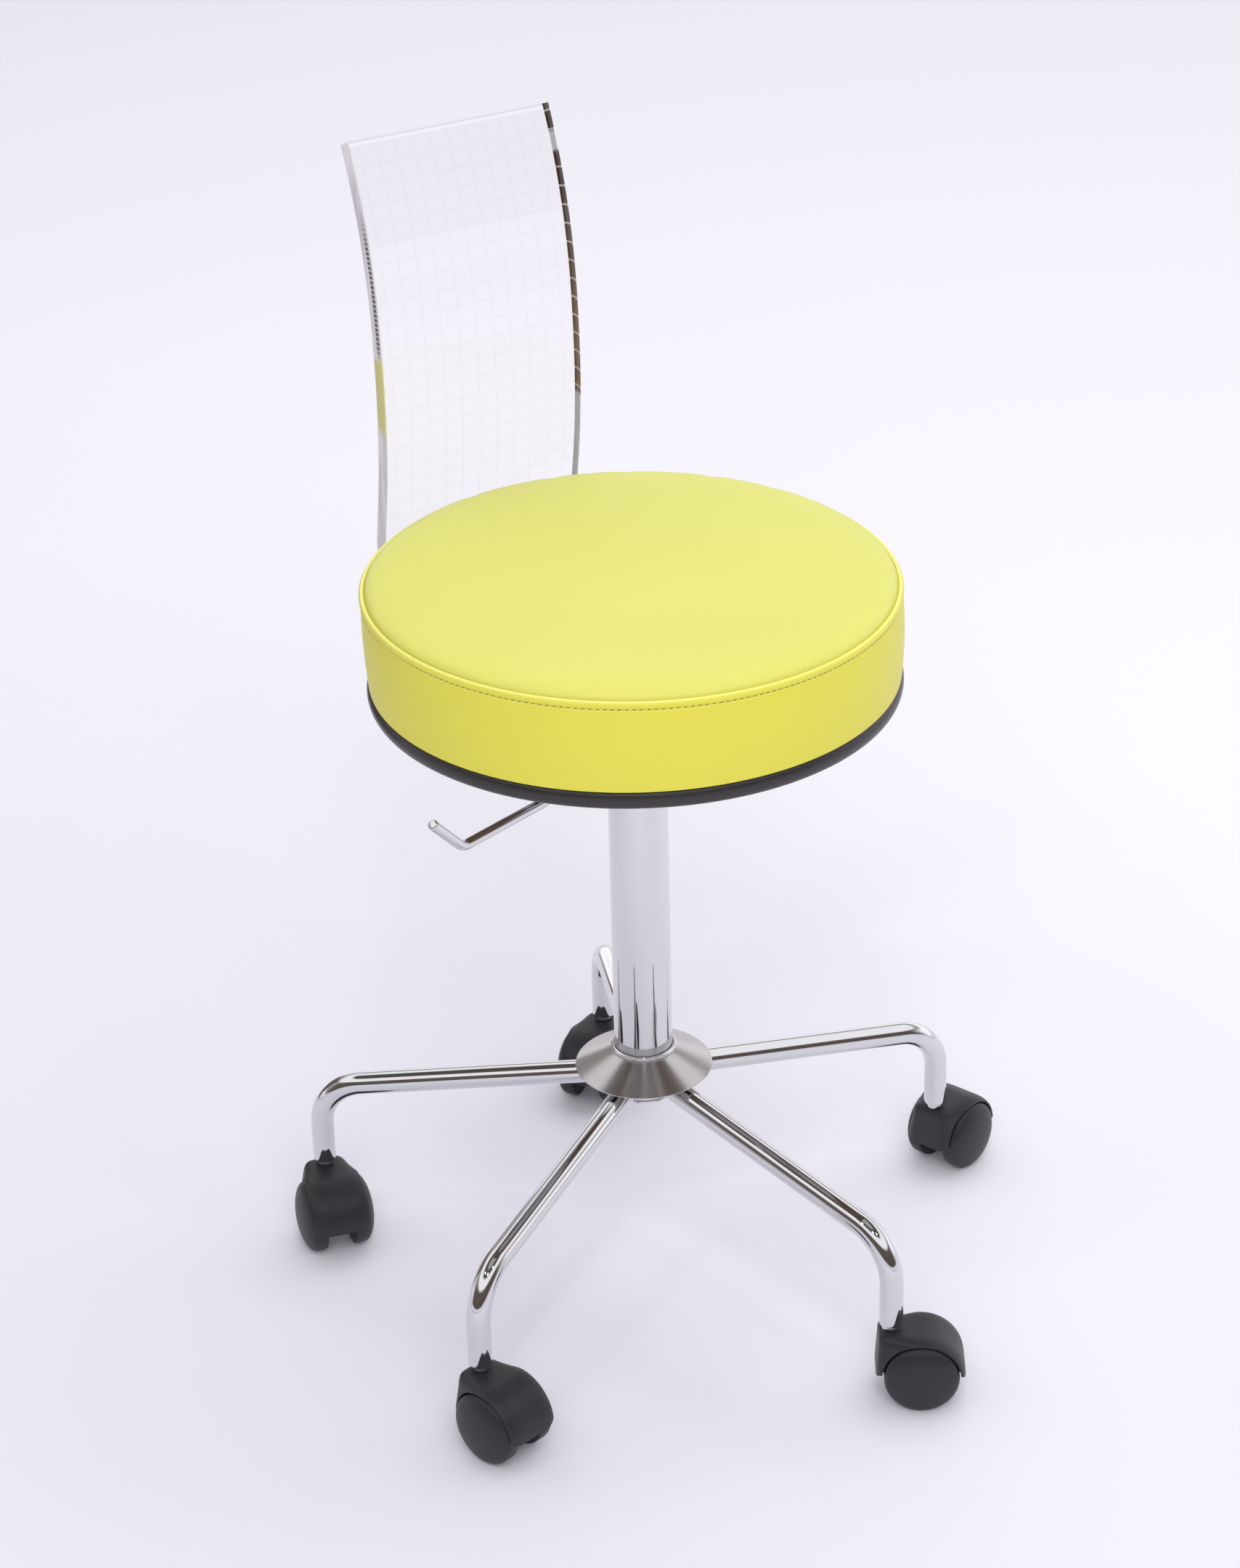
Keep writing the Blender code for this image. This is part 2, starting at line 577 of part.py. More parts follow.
def cylinder_mesh():
    """Gas cylinder: open bore for rod and piston below, tapered top with the button's blind hole."""
    bore, button = CYLINDER_RADIUS - CYLINDER_WALL, BUTTON_RADIUS + GAP
    button_floor = CYLINDER_TOP - BUTTON_DEPTH - BUTTON_TRAVEL - GAP
    bore_top = button_floor - 2 * CYLINDER_WALL
    profile = [(0, button_floor), (button, button_floor), (button, CYLINDER_TOP),
               (CYLINDER_RADIUS - CYLINDER_TAPER, CYLINDER_TOP),
               (CYLINDER_RADIUS - CYLINDER_TAPER, SOCKET_TOP),
               (CYLINDER_RADIUS, SOCKET_BOTTOM), (CYLINDER_RADIUS, CYLINDER_BOTTOM),
               (bore, CYLINDER_BOTTOM), (bore, bore_top), (0, bore_top)]
    return turned("gas_cylinder", profile, HUB_SIDES)


# Mechanism under the seat; its local +X is the lever's direction
def socket_mesh():
    """Tapered socket that grips the cylinder's top."""
    low, high = CYLINDER_RADIUS + GAP, CYLINDER_RADIUS - CYLINDER_TAPER + GAP
    outer = low + SOCKET_WALL
    profile = [(high, SOCKET_TOP), (outer, SOCKET_TOP), (outer, SOCKET_BOTTOM), (low, SOCKET_BOTTOM)]
    return turned("taper_socket", profile, HUB_SIDES, ring=True)


def housing_mesh():
    """Channel under the plate, open at both ends, that carries socket and lever pin."""
    x, y, top = HOUSING_LENGTH / 2, HOUSING_WIDTH / 2, PLATE_BOTTOM - GAP
    channel = box("lever_housing", (-x, -y, HOUSING_BOTTOM), (x, y, top))
    inside = y - HOUSING_SHEET
    clear = (x + HOUSING_SHEET, top + HOUSING_SHEET)
    hollow = box("hollow", (-clear[0], -inside, HOUSING_BOTTOM + HOUSING_SHEET), (clear[0], inside, clear[1]))
    mouth = rod("mouth", CYLINDER_RADIUS + GAP, HOUSING_BOTTOM - HOUSING_SHEET, CYLINDER_TOP, HUB_SIDES)
    pin_hole = rod("pin_hole", PIN_RADIUS + GAP, -HOUSING_WIDTH, HOUSING_WIDTH)
    moved(pin_hole, (LEVER_PIVOT, 0, LEVER_HEIGHT), ALONG_Y)
    return carved(channel, [hollow, mouth, pin_hole])


def plate_screws():
    """Places of the plate's screws in plan."""
    reach = PLATE_SIZE / 2 - SCREW_INSET
    return [(reach, reach), (-reach, reach), (-reach, -reach), (reach, -reach)]


def plate_mesh():
    """Steel plate under the board."""
    half = PLATE_SIZE / 2
    plate = box("seat_plate", (-half, -half, PLATE_BOTTOM), (half, half, PLATE_TOP))
    low, high = PLATE_BOTTOM - PLATE_THICKNESS, PLATE_TOP + PLATE_THICKNESS
    return carved(plate, [screw_hole("plate_hole", low, high, place) for place in plate_screws()])


def lever_mesh():
    """Bent rod about its pin at the origin: over the button, out, a step down, and an upturned tip."""
    crank = HOUSING_LENGTH / 2 - LEVER_PIVOT + LEVER_RADIUS
    run_end = LEVER_REACH - LEVER_PIVOT
    corners = [(-LEVER_PIVOT - LEVER_PAST_BUTTON, 0, 0), (crank, 0, 0),
               (crank + LEVER_CRANK_RUN, 0, -LEVER_DROP),
               (run_end, 0, -LEVER_DROP), (run_end + LEVER_TIP_RUN, 0, LEVER_TIP_RISE - LEVER_DROP)]
    shaft = bent_rod("lever", filleted(corners, LEVER_FILLET, 3), LEVER_RADIUS)
    half = LEVER_BOSS_WIDTH / 2
    boss = moved(rod("boss", LEVER_BOSS_RADIUS, -half, half), rotation=ALONG_Y)
    bore = moved(rod("bore", PIN_RADIUS + GAP, -2 * half, 2 * half), rotation=ALONG_Y)
    return carved(shaft, [bore], [boss])


# Seat
def board_mesh(screws):
    """Plywood disc with blind holes for the screws."""
    profile = [(0, BOARD_TOP), (BOARD_RADIUS, BOARD_TOP), (BOARD_RADIUS, BOARD_BOTTOM), (0, BOARD_BOTTOM)]
    disc = turned("seat_board", profile, SEAT_SIDES)
    low, high = BOARD_BOTTOM - BOARD_THICKNESS, BOARD_BOTTOM + SCREW_BITE + GAP
    return carved(disc, [screw_hole("board_hole", low, high, place) for place in screws])


def trim_mesh():
    """Half-round strip round the board's edge."""
    bore = BOARD_RADIUS + GAP
    half, middle = TRIM_HEIGHT / 2, BOARD_BOTTOM + TRIM_HEIGHT / 2
    flat = SEAT_RADIUS - bore - half
    round_side = arc((bore + flat, middle), half, math.pi / 2, -math.pi / 2, 4)
    profile = [(bore, TRIM_TOP)] + round_side + [(bore, BOARD_BOTTOM)]
    return turned("edge_trim", profile, SEAT_SIDES, ring=True)


def cushion_mesh():
    """Pad with a crowned top, a sewn edge, a drawn-in side band and a recess for the board."""
    base, side_top = TRIM_TOP + GAP, SEAM_HEIGHT - 2 * SEAM_LIP
    foot = SEAT_RADIUS - CUSHION_TUCK
    shoulder = SEAT_RADIUS - SEAM_LIP
    recess, seat = BOARD_RADIUS + 2 * GAP, BOARD_TOP + GAP
    crown = []
    for share in (0.0, 0.3, 0.55, 0.75, 0.88, 0.96):
        crown.append((shoulder * share, SEAM_HEIGHT + CUSHION_CROWN * (1 - share ** 3)))
    seam = [(shoulder, SEAM_HEIGHT), (SEAT_RADIUS, SEAM_HEIGHT - SEAM_LIP), (shoulder, side_top)]
    band = []
    for share in (0.25, 0.5, 0.75):
        drawn = CUSHION_WAIST * math.sin(math.pi * share)
        edge = shoulder + (foot - shoulder) * share
        band.append((edge - drawn, side_top + (base - side_top) * share))
    under = [(foot, base), (recess, base), (recess, seat), (0, seat)]
    return turned("seat_cushion", crown + seam + band + under, SEAT_SIDES)


# Backrest
def backrest_face():
    """Front face from the side as (distance behind the axis, height, heading), from the tongue up."""
    lean, middle, top = (math.radians(a) for a in (BACK_LEAN, BACK_MIDDLE_TILT, BACK_TOP_TILT))
    waist_y, waist_z = SEAT_RADIUS + BACK_STANDOFF, BOARD_BOTTOM + BACK_WAIST_RISE
    knee_y = waist_y + BACK_LOWER_RADIUS * (1 - math.cos(lean))
    knee_z = waist_z - BACK_LOWER_RADIUS * math.sin(lean)
    straight = (knee_z - TONGUE_TOP - BACK_BEND * (1 + math.sin(lean))) / math.cos(lean)
    bend_y = knee_y + straight * math.sin(lean) - BACK_BEND * math.cos(lean)
    face = [(TONGUE_START, TONGUE_TOP, 0.0)]
    for i in range(7):
        heading = (math.pi / 2 + lean) * i / 6
        rise = BACK_BEND * (1 - math.cos(heading))
        face.append((bend_y + BACK_BEND * math.sin(heading), TONGUE_TOP + rise, heading))
    for i in range(4):
        tilt = lean * (1 - i / 4)
        y = waist_y + BACK_LOWER_RADIUS * (1 - math.cos(tilt))
        face.append((y, waist_z - BACK_LOWER_RADIUS * math.sin(tilt), math.pi / 2 + tilt))
    for i in range(3):
        tilt = middle * i / 2
        y = waist_y + BACK_MIDDLE_RADIUS * (1 - math.cos(tilt))
        face.append((y, waist_z + BACK_MIDDLE_RADIUS * math.sin(tilt), math.pi / 2 - tilt))
    middle_y, middle_z, _ = face[-1]
    for i in range(1, 6):
        tilt = middle + (top - middle) * i / 5
        y = middle_y + BACK_UPPER_RADIUS * (math.cos(middle) - math.cos(tilt))
        z = middle_z + BACK_UPPER_RADIUS * (math.sin(tilt) - math.sin(middle))
        face.append((y, z, math.pi / 2 - tilt))
    return face


def clamp_screws():
    """Places of the backrest's screws in plan."""
    x = BACK_WIDTH / 2 - CLAMP_MARGIN - CLAMP_SCREW_INSET
    near = TONGUE_START + CLAMP_MARGIN + CLAMP_SCREW_INSET
    far = TONGUE_START + CLAMP_MARGIN + CLAMP_DEPTH - CLAMP_SCREW_INSET
    return [(x, near), (-x, near), (-x, far), (x, far)]


def backrest_mesh():
    """Clear sheet: tongue under the board, bend behind the seat, forward waist, top leaning back."""
    front = backrest_face()
    back = [(y + BACK_THICKNESS * math.sin(h), z - BACK_THICKNESS * math.cos(h)) for y, z, h in front]
    outline = [(y, z) for y, z, _ in front] + back[::-1]
    sheet = extruded("backrest", outline, BACK_WIDTH / 2)
    low, high = TONGUE_BOTTOM - BACK_THICKNESS, TONGUE_TOP + BACK_THICKNESS
    return carved(sheet, [screw_hole("tongue_hole", low, high, place) for place in clamp_screws()])


def clamp_mesh():
    """Steel bar under the tongue that spreads the screws' load."""
    x, top = BACK_WIDTH / 2 - CLAMP_MARGIN, TONGUE_BOTTOM - GAP
    near = TONGUE_START + CLAMP_MARGIN
    bar = box("backrest_clamp", (-x, near, top - CLAMP_THICKNESS), (x, near + CLAMP_DEPTH, top))
    low, high = top - 2 * CLAMP_THICKNESS, top + CLAMP_THICKNESS
    return carved(bar, [screw_hole("clamp_hole", low, high, place) for place in clamp_screws()])


def build_base(stool):
    """Hub, column, legs and casters."""
    piece("hub_cap", hub_cap_mesh(), CHROME, stool)
    piece("hub_sleeve", sleeve_mesh(), CHROME, stool)
    piece("hub_cover", cover_mesh(), SATIN_CHROME, stool)
    piece("column_tube", column_mesh(), CHROME, stool)
    piece("guide_bush", bush_mesh(), BLACK_PLASTIC, stool)
    bearing = washer_mesh("thrust_bearing", ROD_RADIUS + GAP, BEARING_RADIUS, BEARING_BOTTOM, BEARING_HEIGHT)
    piece("thrust_bearing", bearing, STEEL, stool)
    leg, stem, hood, axle, wheel = leg_mesh(), stem_mesh(), hood_mesh(), axle_mesh(), wheel_mesh()
    axle_place = (CASTER_TRAIL, 0, AXLE_HEIGHT)
    for i, heading in enumerate(CASTER_HEADINGS):
        number = i + 1
        direction = BASE_TURN + 360.0 / len(CASTER_HEADINGS) * i
        arm = frame(f"arm_{number}", stool, turn=direction)
        piece(f"leg_{number}", leg, CHROME, arm)
        caster = frame(f"caster_{number}", arm, (LEG_REACH, 0, 0), heading - direction)
        piece(f"caster_stem_{number}", stem, CHROME, caster)
        piece(f"caster_hood_{number}", hood, BLACK_PLASTIC, caster)
        piece(f"caster_axle_{number}", axle, STEEL, caster, axle_place)
        piece(f"wheel_left_{number}", wheel, BLACK_PLASTIC, caster, axle_place)
        piece(f"wheel_right_{number}", wheel, BLACK_PLASTIC, caster, axle_place, turn=180)


def build_lift(stool, seat):
    """Gas lift: the rod turns on the column's foot, and the cylinder slides along it with the seat."""
    piece("piston_rod", piston_rod_mesh(), STEEL, stool)
    clip_bottom = FOOT_BOTTOM - GAP - CLIP_THICKNESS
    clip = washer_mesh("rod_clip", ROD_RADIUS + GAP, CLIP_RADIUS, clip_bottom, CLIP_THICKNESS)
    piece("rod_clip", clip, STEEL, stool)
    piece("gas_cylinder", cylinder_mesh(), CHROME, seat)
    gland = (ROD_RADIUS + GAP, CYLINDER_RADIUS - CYLINDER_WALL - GAP, CYLINDER_BOTTOM, GLAND_LENGTH)
    piece("cylinder_gland", washer_mesh("cylinder_gland", *gland), STEEL, seat)
    button = rod("release_button", BUTTON_RADIUS, CYLINDER_TOP - BUTTON_DEPTH, BUTTON_TOP, PIN_SIDES)
    piece("release_button", button, STEEL, seat)


def build_mechanism(seat):
    """Socket, housing, lever and plate, turned to the lever's direction."""
    mechanism = frame("mechanism", seat, turn=LEVER_AZIMUTH)
    piece("taper_socket", socket_mesh(), STEEL, mechanism)
    piece("lever_housing", housing_mesh(), STEEL, mechanism)
    piece("seat_plate", plate_mesh(), STEEL, mechanism)
    pivot = (LEVER_PIVOT, 0, LEVER_HEIGHT)
    half = HOUSING_WIDTH / 2 + PIN_PROUD
    pin = moved(rod("lever_pin", PIN_RADIUS, -half, half), rotation=ALONG_Y)
    piece("lever_pin", pin, STEEL, mechanism, pivot)
    piece("lever", lever_mesh(), CHROME, mechanism, pivot)
    head = PLATE_BOTTOM - GAP - SCREW_HEAD_HEIGHT
    screw = screw_mesh("seat_screw", head, BOARD_BOTTOM + SCREW_BITE)
    for i, (x, y) in enumerate(plate_screws()):
        piece(f"seat_screw_{i + 1}", screw, STEEL, mechanism, (x, y, 0))


def build_seat(seat):
    """Board, trim, cushion and backrest."""
    turn = Matrix.Rotation(math.radians(LEVER_AZIMUTH), 3, "Z")
    plate_places = [(turn @ Vector((x, y, 0)))[:2] for x, y in plate_screws()]
    piece("seat_board", board_mesh(plate_places + clamp_screws()), PLYWOOD, seat)
    piece("edge_trim", trim_mesh(), BLACK_TRIM, seat)
    piece("seat_cushion", cushion_mesh(), LIME_VINYL, seat)
    piece("backrest", backrest_mesh(), CLEAR_SHEET, seat)
    piece("backrest_clamp", clamp_mesh(), STEEL, seat)
    head = TONGUE_BOTTOM - 2 * GAP - CLAMP_THICKNESS - SCREW_HEAD_HEIGHT
    screw = screw_mesh("backrest_screw", head, BOARD_BOTTOM + SCREW_BITE)
    for i, (x, y) in enumerate(clamp_screws()):
        piece(f"backrest_screw_{i + 1}", screw, STEEL, seat, (x, y, 0))


def main():
    stool = frame("stool", location=(0, 0, -HUB_UNDERSIDE))
    seat = frame("seat", stool)
    build_base(stool)
    build_lift(stool, seat)
    build_mechanism(seat)
    build_seat(seat)
    for cutter in list(cutters.objects):
        bpy.data.objects.remove(cutter)
    bpy.context.view_layer.update()


main()
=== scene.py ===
import json
import math

import bmesh
import bpy
import numpy as np
from mathutils import Matrix, Vector


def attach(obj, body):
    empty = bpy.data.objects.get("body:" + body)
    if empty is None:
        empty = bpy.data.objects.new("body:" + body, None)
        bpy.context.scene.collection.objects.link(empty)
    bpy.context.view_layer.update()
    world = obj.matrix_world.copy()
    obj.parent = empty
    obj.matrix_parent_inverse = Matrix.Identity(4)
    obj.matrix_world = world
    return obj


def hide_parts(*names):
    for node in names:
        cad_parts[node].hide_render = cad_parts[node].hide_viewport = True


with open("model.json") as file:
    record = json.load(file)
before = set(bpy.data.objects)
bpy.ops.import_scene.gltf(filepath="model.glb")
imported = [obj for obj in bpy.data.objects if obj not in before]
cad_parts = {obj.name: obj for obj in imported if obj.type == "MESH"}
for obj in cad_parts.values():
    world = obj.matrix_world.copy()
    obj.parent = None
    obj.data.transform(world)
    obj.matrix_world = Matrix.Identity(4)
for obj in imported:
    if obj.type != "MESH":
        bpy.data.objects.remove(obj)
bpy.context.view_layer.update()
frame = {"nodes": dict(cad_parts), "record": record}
floorLevel = -0.1385  # the model's origin is the centre of the hub's underside
tau = 2 * math.pi
print("frame loaded")


# A shader socket that takes part in plain arithmetic
class Wire:
    def __init__(self, tree, socket):
        self.tree = tree
        self.socket = socket

    def node(self, kind, settings, inputs, output=0):
        made = self.tree.nodes.new(kind)
        for key, value in settings.items():
            setattr(made, key, value)
        for key, value in inputs.items():
            if isinstance(value, Wire):
                self.tree.links.new(value.socket, made.inputs[key])
            else:
                made.inputs[key].default_value = value
        return Wire(self.tree, made.outputs[output])

    def math(self, operation, first, second=0.0):
        return self.node("ShaderNodeMath", {"operation": operation}, {0: first, 1: second})

    def __add__(self, other):
        return self.math("ADD", self, other)

    def __sub__(self, other):
        return self.math("SUBTRACT", self, other)

    def __mul__(self, other):
        return self.math("MULTIPLY", self, other)

    def __truediv__(self, other):
        return self.math("DIVIDE", self, other)

    def __rsub__(self, other):
        return self.math("SUBTRACT", other, self)

    def __abs__(self):
        return self.math("ABSOLUTE", self)

    def least(self, other):
        return self.math("MINIMUM", self, other)

    def step(self, low, high):
        return self.node("ShaderNodeMapRange", {"interpolation_type": "SMOOTHSTEP"},
                         {"Value": self, "From Min": low, "From Max": high})

    def between(self, low, high):
        return self.node("ShaderNodeMix", {"data_type": "RGBA"}, {0: self, 6: low, 7: high}, 2)

    def parts(self):
        split = self.node("ShaderNodeSeparateXYZ", {}, {0: self})
        return [Wire(self.tree, out) for out in split.socket.node.outputs]

    def stretched(self, x, y, z):
        return self.node("ShaderNodeVectorMath", {"operation": "MULTIPLY"}, {0: self, 1: (x, y, z)})

    def noise(self, scale, detail=2.0):
        return self.node("ShaderNodeTexNoise", {}, {"Vector": self, "Scale": scale, "Detail": detail})

    def cells(self, scale):
        inputs = {"Vector": self, "Scale": scale}
        return self.node("ShaderNodeTexVoronoi", {"feature": "DISTANCE_TO_EDGE"}, inputs)


def rgb(red, green, blue):
    return (red, green, blue, 1.0)


# A Principled material with its fixed sockets set, and the wires that its pattern starts from
class Finish:
    def __init__(self, name, **fixed):
        self.material = bpy.data.materials.new(name)
        self.material.use_nodes = True
        tree = self.material.node_tree
        self.shader = tree.nodes["Principled BSDF"]
        for key, value in fixed.items():
            self.shader.inputs[key.replace("_", " ")].default_value = value
        coordinates = tree.nodes.new("ShaderNodeTexCoord")
        self.place = Wire(tree, coordinates.outputs["Object"])
        self.flat = Wire(tree, coordinates.outputs["UV"])

    def feed(self, socket, wire):
        wire.tree.links.new(wire.socket, self.shader.inputs[socket])

    def bump(self, height, depth, strength=1.0):
        inputs = {"Height": height, "Distance": depth, "Strength": strength}
        self.feed("Normal", height.node("ShaderNodeBump", {}, inputs))


def chromePlate():
    plate = Finish("chrome_plate", Metallic=1.0, Base_Color=rgb(0.69, 0.69, 0.705))
    plate.feed("Roughness", plate.place.noise(38.0, 4.0) * 0.06 + 0.02)
    plate.bump(plate.place.noise(160.0, 1.0), 0.00002, 0.3)
    return plate.material


# Brushed round the column's axis, so that reflections smear along the slope
def satinChrome():
    satin = Finish("satin_chrome", Metallic=1.0, Base_Color=rgb(0.50, 0.48, 0.475), Anisotropic=0.9,
                   Anisotropic_Rotation=0.25)
    x, y = satin.place.parts()[:2]
    radius = x.math("SQRT", x * x + y * y)
    ring = radius.math("SINE", radius * 14000.0)
    satin.feed("Roughness", ring * 0.015 + satin.place.noise(60.0, 3.0) * 0.05 + 0.20)
    return satin.material


seat = {"radius": 0.175, "seam": 0.5235, "crown": 0.0078, "roll": 0.0057, "rollWide": 0.0060, "sink": 0.0020,
        "base": 0.4605, "recess": 0.1686, "boardTop": 0.4630, "bulge": 0.0010, "taper": 0.0012,
        "sectors": 160, "swell": 0.003, "lean": (-0.0012, 0.0007), "tilt": 0.9, "foam": 0.25,
        "pressure": 60.0, "steps": 20, "heldWide": 0.0040, "heldDeep": 0.0086, "heldFoot": 0.004}
# Outside line of the sewn strip from the seam groove down, as offsets from the rim and the seam
sewnLine = [(-0.0037, -0.0020), (-0.0034, -0.0025), (-0.0029, -0.0012), (-0.0012, -0.0010), (0.0001, -0.0028),
            (0.0001, -0.0046), (-0.0011, -0.0065), (-0.0005, -0.0085)]
stitch = {"count": 245, "height": 0.5173, "length": 0.0025, "thick": 0.00045, "tiltShare": 0.85}


# Fine pebbled vinyl. Its top is paler than its side as painted light from above, pale painted highlight lines
# run along the seam's folded ridge and under the stitches, and the needle holes are dark spots of painted
# shade half way between the stitches
def limeVinyl():
    vinyl = Finish("lime_vinyl", Coat_Weight=0.08, Coat_Roughness=0.42, Specular_IOR_Level=0.45)
    x, y, z = vinyl.place.parts()
    cloud = vinyl.place.noise(6.0, 2.0)
    turn = x.math("ARCTAN2", y, x) * (stitch["count"] / tau)
    leanX, leanY = seat["lean"]
    level = z - floorLevel - (x * leanX + y * leanY) * (seat["tilt"] / seat["radius"] * stitch["tiltShare"])
    away = (x - leanX) * (x - leanX) + (y - leanY) * (y - leanY)
    # The dark dashes are painted shade in the needle holes, half way between the stitches
    dash = abs(turn - turn.math("ROUND", turn)).step(0.18, 0.28)
    shadedHoles = dash * abs(level - stitch["height"]).step(0.0007, 0.0003)
    # Painted highlights: a pale line just under the stitch dashes and a pale line along the folded ridge
    # below the seam
    lip = dash * abs(level - (stitch["height"] - 0.0010)).step(0.0006, 0.0002) * 0.45
    foldHighlight = away.step((seat["radius"] - 0.0033) ** 2, (seat["radius"] - 0.0029) ** 2)
    foldHighlight = foldHighlight * abs(level - (seat["seam"] - 0.0012)).step(0.0007, 0.0003) * 0.6
    # The top colour is paler than the side colour as painted light from above
    top = cloud.between(rgb(0.645, 0.652, 0.132), rgb(0.695, 0.702, 0.154))
    side = cloud.between(rgb(0.700, 0.658, 0.057), rgb(0.750, 0.708, 0.074))
    skin = level.step(0.5200, 0.5236).between(side, top)
    skin = (lip + foldHighlight).between(skin, rgb(0.90, 0.87, 0.30))
    vinyl.feed("Base Color", shadedHoles.between(skin, rgb(0.23, 0.20, 0.004)))
    vinyl.feed("Roughness", vinyl.place.noise(420.0, 2.0) * 0.14 + 0.38)
    grain = vinyl.place.cells(1150.0).least(0.35) * 0.6 + vinyl.place.noise(2600.0, 2.0) * 0.4
    vinyl.bump(grain - shadedHoles * 2.0, 0.00016, 0.40)
    return vinyl.material


def mouldedPlastic(name, colour, roughness, scale):
    plastic = Finish(name)
    pebble = plastic.place.noise(scale, 2.0)
    paler = rgb(*(c * 1.4 for c in colour))
    plastic.feed("Base Color", plastic.place.noise(35.0, 3.0).between(rgb(*colour), paler))
    plastic.feed("Roughness", pebble * 0.14 + (roughness - 0.07))
    plastic.bump(pebble, 0.00012, 0.5)
    return plastic.material


def zincSteel():
    zinc = Finish("zinc_steel", Metallic=1.0)
    flake = zinc.place.cells(160.0).step(0.0, 0.5)
    zinc.feed("Base Color", flake.between(rgb(0.42, 0.42, 0.43), rgb(0.56, 0.56, 0.57)))
    zinc.feed("Roughness", zinc.place.noise(90.0, 3.0) * 0.2 + 0.28)
    zinc.bump(zinc.place.noise(700.0, 2.0), 0.00005, 0.4)
    return zinc.material


def plyFace():
    ply = Finish("plywood")
    streak = ply.place.stretched(9.0, 160.0, 60.0).noise(1.0, 5.0)
    ply.feed("Base Color", streak.step(0.3, 0.7).between(rgb(0.085, 0.048, 0.026), rgb(0.165, 0.098, 0.052)))
    ply.feed("Roughness", streak * 0.2 + 0.55)
    ply.bump(streak, 0.0002, 0.5)
    return ply.material


def sewingThread():
    twine = Finish("stitch_thread", Sheen_Weight=0.3)
    twist = twine.place.stretched(900.0, 900.0, 2600.0).noise(1.0, 1.0)
    twine.feed("Base Color", twist.between(rgb(0.58, 0.54, 0.08), rgb(0.70, 0.66, 0.14)))
    twine.feed("Roughness", twist * 0.2 + 0.55)
    twine.bump(twist, 0.0001, 0.5)
    return twine.material


rest = {"wide": 0.150, "thick": 0.012, "soft": 0.0008, "tongue": 0.092, "top": 0.4504, "waistY": 0.198,
        "waistZ": 0.592, "bend": 0.030, "lean": 10.0, "lower": 0.460, "middle": 0.680, "middleTilt": 4.5,
        "upper": 0.340, "topTilt": 25.5}
# UV is metres: u across the sheet from its middle, v down from its top edge
grid = {"pitch": 0.01294, "offset": -0.0034, "firstRow": 0.0045, "line": 0.0006, "tick": 0.0013,
        "edgeEnd": 0.2015, "edgeFade": 0.004}


def nearLine(wire, first, width):
    share = (wire - first) / grid["pitch"]
    away = abs(share - share.math("ROUND", share))
    half = width / grid["pitch"] / 2
    return away.step(half * 1.6, half * 0.4)


def clearSheet(name, lined):
    sheet = Finish(name, Transmission_Weight=1.0, IOR=1.34)
    u, v = sheet.flat.parts()[:2]
    plain = sheet.place.noise(14.0, 2.0).between(rgb(0.990, 0.985, 0.985), rgb(1.0, 0.998, 0.998))
    if lined:
        upright = nearLine(u, grid["offset"], grid["line"])
        level = nearLine(v, grid["firstRow"], grid["line"])
        either = 1 - (1 - upright) * (1 - level)
        plain = (either * 0.30).between(plain, rgb(0.66, 0.66, 0.69))
    plain = (v.step(0.0016, 0.0006) * 0.5).between(plain, rgb(0.60, 0.60, 0.64))
    sheet.feed("Base Color", plain)
    sheet.feed("Roughness", sheet.place.noise(25.0, 3.0) * 0.012)
    return sheet.material


# One cut edge of the sheet, its look painted on: a painted reflection of the room, brown down to the seat's
# height and pale below, with painted pale ticks at the grid's rows and a painted glint near the top
def brownReflectionCut():
    edge = Finish("painted_reflection_edge", Specular_IOR_Level=0.08)
    v = edge.flat.parts()[1]
    tick = nearLine(v, grid["firstRow"], grid["tick"])
    # Painted reflection of the room: brown down to the seat's height, pale grey below
    brown = v.step(0.03, 0.19).between(rgb(0.052, 0.024, 0.012), rgb(0.215, 0.100, 0.008))
    lighterPatches = edge.place.noise(120.0, 3.0).step(0.35, 0.75) * 0.2
    shade = lighterPatches.between(brown, rgb(0.24, 0.14, 0.06))
    # Painted reflections of the grid's rows, as pale ticks
    ticked = (tick * 0.85).between(shade, rgb(0.82, 0.79, 0.74))
    # A painted glint near the top of the edge
    paintedGlint = v.step(0.017, 0.020) * v.step(0.034, 0.030)
    marked = (paintedGlint * 0.9).between(ticked, rgb(0.86, 0.87, 0.90))
    below = v.step(grid["edgeEnd"], grid["edgeEnd"] + grid["edgeFade"])
    edge.feed("Base Color", below.between(marked, rgb(0.66, 0.68, 0.72)))
    edge.feed("Roughness", edge.place.noise(200.0, 2.0) * 0.1 + 0.18)
    return edge.material


